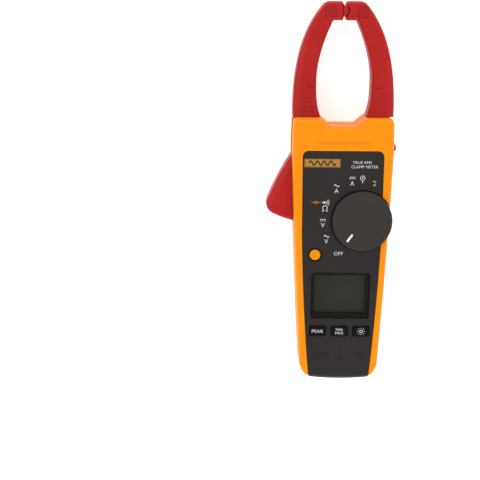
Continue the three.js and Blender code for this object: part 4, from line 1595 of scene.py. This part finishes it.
@dataclass
class Jaws:
    """The fixed jaw and the swinging jaw with its trigger lever."""

    back: float = 9.5
    front: float = 26.5
    split: Flat = (17.85, 18.15)
    start: float = 173.1
    tips: float = 246.0
    bar: float = 234.0
    root: float = 17.6
    pivot: Flat = (-22.0, 153.0)
    tongue: Place = (-1.3, 240.2, 3.3)
    fade: Flat = (240.0, 200.0)
    shoulder: tuple[Place, ...] = (
        (0.0, 0.0, 2.3), (0.35, 0.2, 1.5), (1.0, 0.5, 0.95),
        (2.1, 0.8, 0.5), (3.6, 1.1, 0.2), (5.2, 1.4, 0.0),
    )
    frames: tuple[Flat, ...] = ((-9.3, 239.4), (10.9, 239.1))
    marks: tuple[Flat, ...] = ((-21.6, 192.2), (22.5, 191.5))
    rib_rows: tuple[float, ...] = (176.4, 179.2, 182.6, 185.4)
    rib_runs: tuple[Flat, ...] = ((-27.2, 3.4), (-22.8, 5.2))

    def band(self, face: float) -> tuple[Outline, list[float]]:
        """Draw one jaw as on the right side, with how much each point takes of the broad shoulder.

        Args:
            face: Where its tip face stands.

        Returns:
            The open outline, and the share of each point.
        """
        shape = Outline(32.5, self.start)
        shape.cubic((33, 202), (28.6, 226), (14.6, 243.2), 20)
        high, low = self.fade
        share = [max(0.0, min(1.0, (high - y) / (high - low))) for _x, y in shape.points]
        shape.quad((12.2, self.tips), (9.8, self.tips), 6)
        shape.line(
            (face + 1.2, self.tips), (face, 243.6), (face, 236.4), (face + 0.9, self.bar), (7.4, self.bar),
        )
        shape.quad((8.2, 233.4), (8.6, 232), 4)
        shape.cubic((12.4, 223.5), (17.8, 209), (17.6, 196), 14)
        shape.cubic((17.6, 188), (17.6, 180.5), (14.6, self.start), 12)
        share += [0.0] * (len(shape.points) - len(share))
        return shape, share

    def right(self) -> tuple[list[Flat], list[float]]:
        """Outline the fixed jaw, whose root ends inside the case."""
        shape, share = self.band(0.3)
        shape.line((self.root, self.start), (self.root, 152.5), (29.6, 152.5), (29.6, self.start))
        return shape.points, share + [0.0] * 4

    def left(self) -> tuple[list[Flat], list[float]]:
        """Outline the swinging jaw, which goes on below its pivot as the trigger."""
        shape, share = self.band(0.9)
        shape.line((self.root, self.start), (self.root, 164.5))
        shape.quad((12.6, 158), (13.2, 150), 8)
        shape.quad((20, 128), (26.4, 105.6), 10)
        shape.line((30.8, 104.7))
        share += [0.0] * (len(shape.points) - len(share))
        shape.quad((39, 106.6), (45.2, 109.9), 8)
        share += [0.25] * 8
        shape.quad((49.6, 112.6), (48.7, 117.5), 8)
        share += [0.3] * 4 + [0.4, 0.55, 0.7, 0.85]
        shape.quad((42.5, 133.6), (32.2, 149.6), 12)
        share += [1.0] * 10 + [0.7, 0.4]
        shape.line((31.8, self.start))
        share.append(0.0)
        points = [(-x, y) for x, y in reversed(shape.points)]
        return points, share[::-1]

    def drawn_in(
        self, points: Sequence[Flat], share: Sequence[float], outer: float, inner: float,
    ) -> list[Flat]:
        """Move an outline inwards for one step of the shoulder.

        Args:
            points: The outline.
            share: How much of the broad shoulder each point takes.
            outer: The move where the share is 1.
            inner: The move where it is 0.

        Returns:
            The drawn-in outline, which leaves the root as it is and keeps the foot level.
        """
        moved = inset(points, [inner + (outer - inner) * part for part in share])
        result = []
        for (x, y), (new_x, new_y) in zip(points, moved):
            if abs(y - self.start) < 0.05:
                way = -math.copysign(1, x)
                if abs(x) > 32.0:
                    new_x = x + way * outer
                elif abs(x) < 15.0:
                    new_x = x - way * inner
                else:
                    new_x = x
                new_y = y
            elif y < self.start and abs(x) < 32.0 and y > 150:
                new_x, new_y = x, y
            result.append((new_x, new_y))
        return result

    def shell(self, name: str, points: Sequence[Flat], share: Sequence[float], upper: bool) -> Solid:
        """Build one half of a jaw.

        Args:
            name: What the piece is called.
            points: The jaw's outline.
            share: How much of the broad shoulder each point takes.
            upper: Whether it is the front half.

        Returns:
            The hollow half.
        """
        rear_flat, front_flat = self.split
        rings = [
            (self.drawn_in(points, share, outer, inner), self.front - drop if upper else self.back + drop)
            for outer, inner, drop in self.shoulder
        ]
        if upper:
            rings.insert(0, (points, front_flat))
        else:
            rings = [*rings[::-1], (points, rear_flat)]
        half = Solid.loft(name, rings)
        hollow = Solid.plate("tool", inset(points, 2.0), 12, 24)
        hollow.keep_inside(Solid.box("tool", (-80, 80), (176, 243), (0, 40)))
        return half.cut(hollow)

    def build_right(self) -> None:
        """Build the fixed jaw's two halves, with the pocket for the other's tongue."""
        points, share = self.right()
        x, y, radius = self.tongue
        for name, upper, node in (
            ("fixed_jaw_front", True, "right_jaw_front"), ("fixed_jaw_rear", False, "right_jaw_rear"),
        ):
            half = self.shell(name, points, share, upper)
            half.cut(
                Solid.peg("tool", (x, y, 0), radius + 0.7, 40, sides=64),
                Solid.peg("tool", (24, 161, 0), 4.7, 40, sides=32),
            )
            half.tidy(0.25).fit(RED, Body.CASE, node)

    def build_left(self) -> None:
        """Build the swinging jaw's two halves, with the tongue and the pivot bore."""
        points, share = self.left()
        x, y, radius = self.tongue
        rear_flat, front_flat = self.split
        for name, upper, node in (
            ("swing_jaw_front", True, "left_jaw_front"), ("swing_jaw_rear", False, "left_jaw_rear"),
        ):
            half = self.shell(name, points, share, upper)
            low, high = (front_flat, self.front - 0.3) if upper else (self.back + 0.3, rear_flat)
            nib = Solid.peg("tool", (x, y, low), radius, high - low, sides=64)
            nib.keep_inside(Solid.box("tool", (x, 4), (230, 246), (low - 1, high + 1)))
            half.weld(nib)
            half.cut(
                Solid.peg("tool", (*self.pivot, 0), 3.9, 40, sides=32),
                Solid.peg("tool", (*self.pivot, 12), 6.6, 12, sides=48),
            )
            half.tidy(0.25).fit(RED, Body.LEFT_JAW, node)

    def build_relief(self) -> None:
        """Mould the small marks on the front of both jaws: a double square and a line each, in a darker red that
        is painted shade for their relief.
        """
        at = self.front - 0.02
        for side, body, (x, y), (line_x, line_y) in zip(
            ("left", "right"), (Body.LEFT_JAW, Body.CASE), self.frames, self.marks,
        ):
            pieces = []
            for half, width in ((3.2, 0.42), (1.5, 0.34)):
                box = rounded_box(x - half, x + half, y - half, y + half, 0.5, 4)
                pieces.append(stroke(f"{side}_jaw_marks", [*box, box[0]], width, at, 0.14))
            pieces.append(stroke("line", [(line_x - 2.1, line_y), (line_x + 2.1, line_y)], 0.5, at, 0.14))
            if side == "left":
                pieces += [
                    stroke("rib", [(start, row), (start + long, row)], 0.3, at, 0.1)
                    for row in self.rib_rows for start, long in self.rib_runs
                ]
            first, *rest = pieces
            first.gather(*rest).fit(RED_RELIEF_SHADE, body)


# ---- the jack end ----


@dataclass
class JackEnd:
    """The black block with the two jacks and the probe's socket."""

    half: float = 19.2
    inner_half: float = 16.8
    face: float = 1.9
    step: float = 5.8
    depth: float = 22.0
    height: float = 20.0
    spread: float = 11.2
    mouth: float = 4.6
    mouth_depth: float = 10.0
    face_half: float = 8.0
    bore: float = 3.2

    def about(self, half: float) -> Flat:
        """Give the range of heights that lies `half` either side of the jacks' axis."""
        return (self.height - half, self.height + half)

    def build(self) -> None:
        """Build the block, with flared mouths."""
        block = Solid.box(
            "jack_body", (-self.half, self.half), (self.face, self.step), self.about(self.face_half),
        )
        block.bevel_where(
            1.2, 4, lambda at, normal: abs(at.x) > self.half - 0.1 and abs(normal.y) < 0.1,
        )
        block.weld(Solid.box(
            "tool", (-self.inner_half, self.inner_half), (self.step - 0.1, self.depth), self.about(6),
        ))
        end = self.mouth_depth - self.face
        flare = [
            (0, -1), (self.mouth + 0.7, -1), (self.mouth + 0.7, 0.1), (self.mouth, 0.8),
            (self.mouth, end), (0, end),
        ]
        for x in (-self.spread, self.spread):
            block.cut(
                Solid.turned("tool", (x, self.face, self.height), flare, "Y", 48),
                Solid.peg("tool", (x, 0, self.height), self.bore, 30, "Y", 32),
            )
        block.cut(Solid.box("tool", (-5.2, 5.2), (-2, 12), self.about(2.9)))
        block.tidy(0.2).fit(BLACK, Body.CASE, "jack_block")


# ---- what lies inside ----


@dataclass
class Innards:
    """The parts inside the case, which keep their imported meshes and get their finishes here."""

    finishes: dict[str, Finish] = field(default_factory=lambda: {
        "door_screw": STEEL, **{f"case_screw_{number}": STEEL for number in range(1, 6)},
        "lcd_glass": GLASS, "lcd_backlight": MARK, "lcd_holder": INNER_BLACK_AND_SHADE, "keypad": KEY_CAP,
        "dial_rotor": INNER_BLACK_AND_SHADE, "dial_wiper": BRASS, "dial_seal": KEY_CAP, "detent_spring": STEEL,
        "main_board": BOARD, "buzzer": INNER_BLACK_AND_SHADE, "cell_left": CELL, "cell_right": CELL,
        "battery_holder": INNER_BLACK_AND_SHADE, "contact_cone_left": STEEL, "contact_cone_right": STEEL,
        "contact_plate_left": STEEL, "contact_plate_right": STEEL, "jack_tube_com": BRASS,
        "jack_tube_volt": BRASS, "probe_socket": INNER_BLACK_AND_SHADE, "left_core": IRON, "right_core": IRON,
        "left_coil": COPPER, "right_coil": COPPER, "jaw_bush": BRASS, "jaw_spring": STEEL,
        "pivot_pin": STEEL, "field_sensor": INNER_BLACK_AND_SHADE,
    })

    def dress(self) -> None:
        """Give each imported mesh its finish."""
        for name, finish in self.finishes.items():
            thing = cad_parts[name]
            thing.data.materials.clear()
            thing.data.materials.append(finish.material())
            LOG.info("%s: dressed in %s", name, finish.name)


# ---- the studio ----


@dataclass
class Studio:
    """A pale floor, soft lights and the camera."""

    aim: tuple[float, float] = (-65.8, 86.2)
    away: float = 800.0
    lean: float = 12.0
    roll: float = 0.40
    lens: float = 88.3
    floor_size: float = 4.0
    sky: float = 0.85

    def build_floor(self) -> None:
        """Lay a large pale sheet under the meter, which glows a little."""
        clear_bench()
        bpy.ops.mesh.primitive_grid_add(
            x_subdivisions=4, y_subdivisions=4, size=self.floor_size, location=(0, 0, -0.0002),
        )
        floor = Solid(bpy.context.object, "studio_floor")
        shader = Shader("studio_floor")
        tone = shader.noise(260, 2)
        shader.set(
            Base_Color=shader.blend(tone, (0.93, 0.93, 0.93, 1), (0.95, 0.95, 0.945, 1)),
            Roughness=0.9,
            Emission_Color=(1, 1, 1, 1),
            Emission_Strength=0.5,
        )
        floor.thing.data.materials.append(shader.material)

    def build_lights(self) -> None:
        """Hang a broad key light, a fill, a strip behind the jaws and a light at the jack end."""
        world = bpy.data.worlds.new("studio_sky")
        world.use_nodes = True
        world.node_tree.nodes["Background"].inputs["Color"].default_value = (1, 1, 1, 1)
        world.node_tree.nodes["Background"].inputs["Strength"].default_value = self.sky
        bpy.context.scene.world = world
        for name, place, size, power in (
            ("key_light", (-0.75, 0.35, 1.15), 0.9, 4.5),
            ("fill_light", (0.85, -0.25, 1.0), 0.9, 2.5),
            ("strip_light", (0.1, 1.3, 0.30), 0.7, 5.0),
            ("foot_light", (0.0, -1.2, 0.45), 0.6, 5.0),
        ):
            clear_bench()
            bpy.ops.object.light_add(type="AREA", location=place)
            lamp = bpy.context.object
            lamp.name = name
            lamp.data.shape = "DISK"
            lamp.data.size = size
            lamp.data.energy = power
            lamp.rotation_euler = (-Vector(place)).to_track_quat("-Z", "Y").to_euler()

    def build_camera(self) -> None:
        """Stand the camera over the jaws, looking down and a little towards the jack end."""
        lean, roll = math.radians(self.lean), math.radians(self.roll)
        back = Vector((0, math.sin(lean), math.cos(lean)))
        up = Vector((0, math.cos(lean), -math.sin(lean)))
        right = Vector((1, 0, 0))
        turned_right = right * math.cos(roll) + up * math.sin(roll)
        turned_up = up * math.cos(roll) - right * math.sin(roll)
        clear_bench()
        bpy.ops.object.camera_add()
        camera = bpy.context.object
        camera.name = "studio_camera"
        camera.matrix_world = Matrix.Translation(spot(*self.aim, 0) + back * self.away * MM) @ Matrix(
            (turned_right, turned_up, back)
        ).transposed().to_4x4()
        camera.data.lens = self.lens
        camera.data.sensor_width = 36.0
        camera.data.clip_start = 0.01
        bpy.context.scene.camera = camera
        bpy.context.scene.view_settings.view_transform = "Standard"


def main() -> None:
    """Build the meter, piece by piece, and the studio round it."""
    logging.basicConfig(level=logging.INFO, format="%(message)s")
    case, face, dial = Casework(), FrontFace(), Selector()
    studio = Studio()
    studio.build_camera()
    case.build_front(face, dial)
    case.build_rear()
    case.build_door()
    case.build_sides()
    face.build_shade_sheet(case, dial)
    face.build_panel(case, dial)
    face.build_window()
    face.build_keys()
    face.build_badge()
    face.build_printing()
    dial.build()
    jaws = Jaws()
    jaws.build_right()
    jaws.build_left()
    jaws.build_relief()
    JackEnd().build()
    Innards().dress()
    studio.build_floor()
    studio.build_lights()


if __name__ == "__main__":
    main()
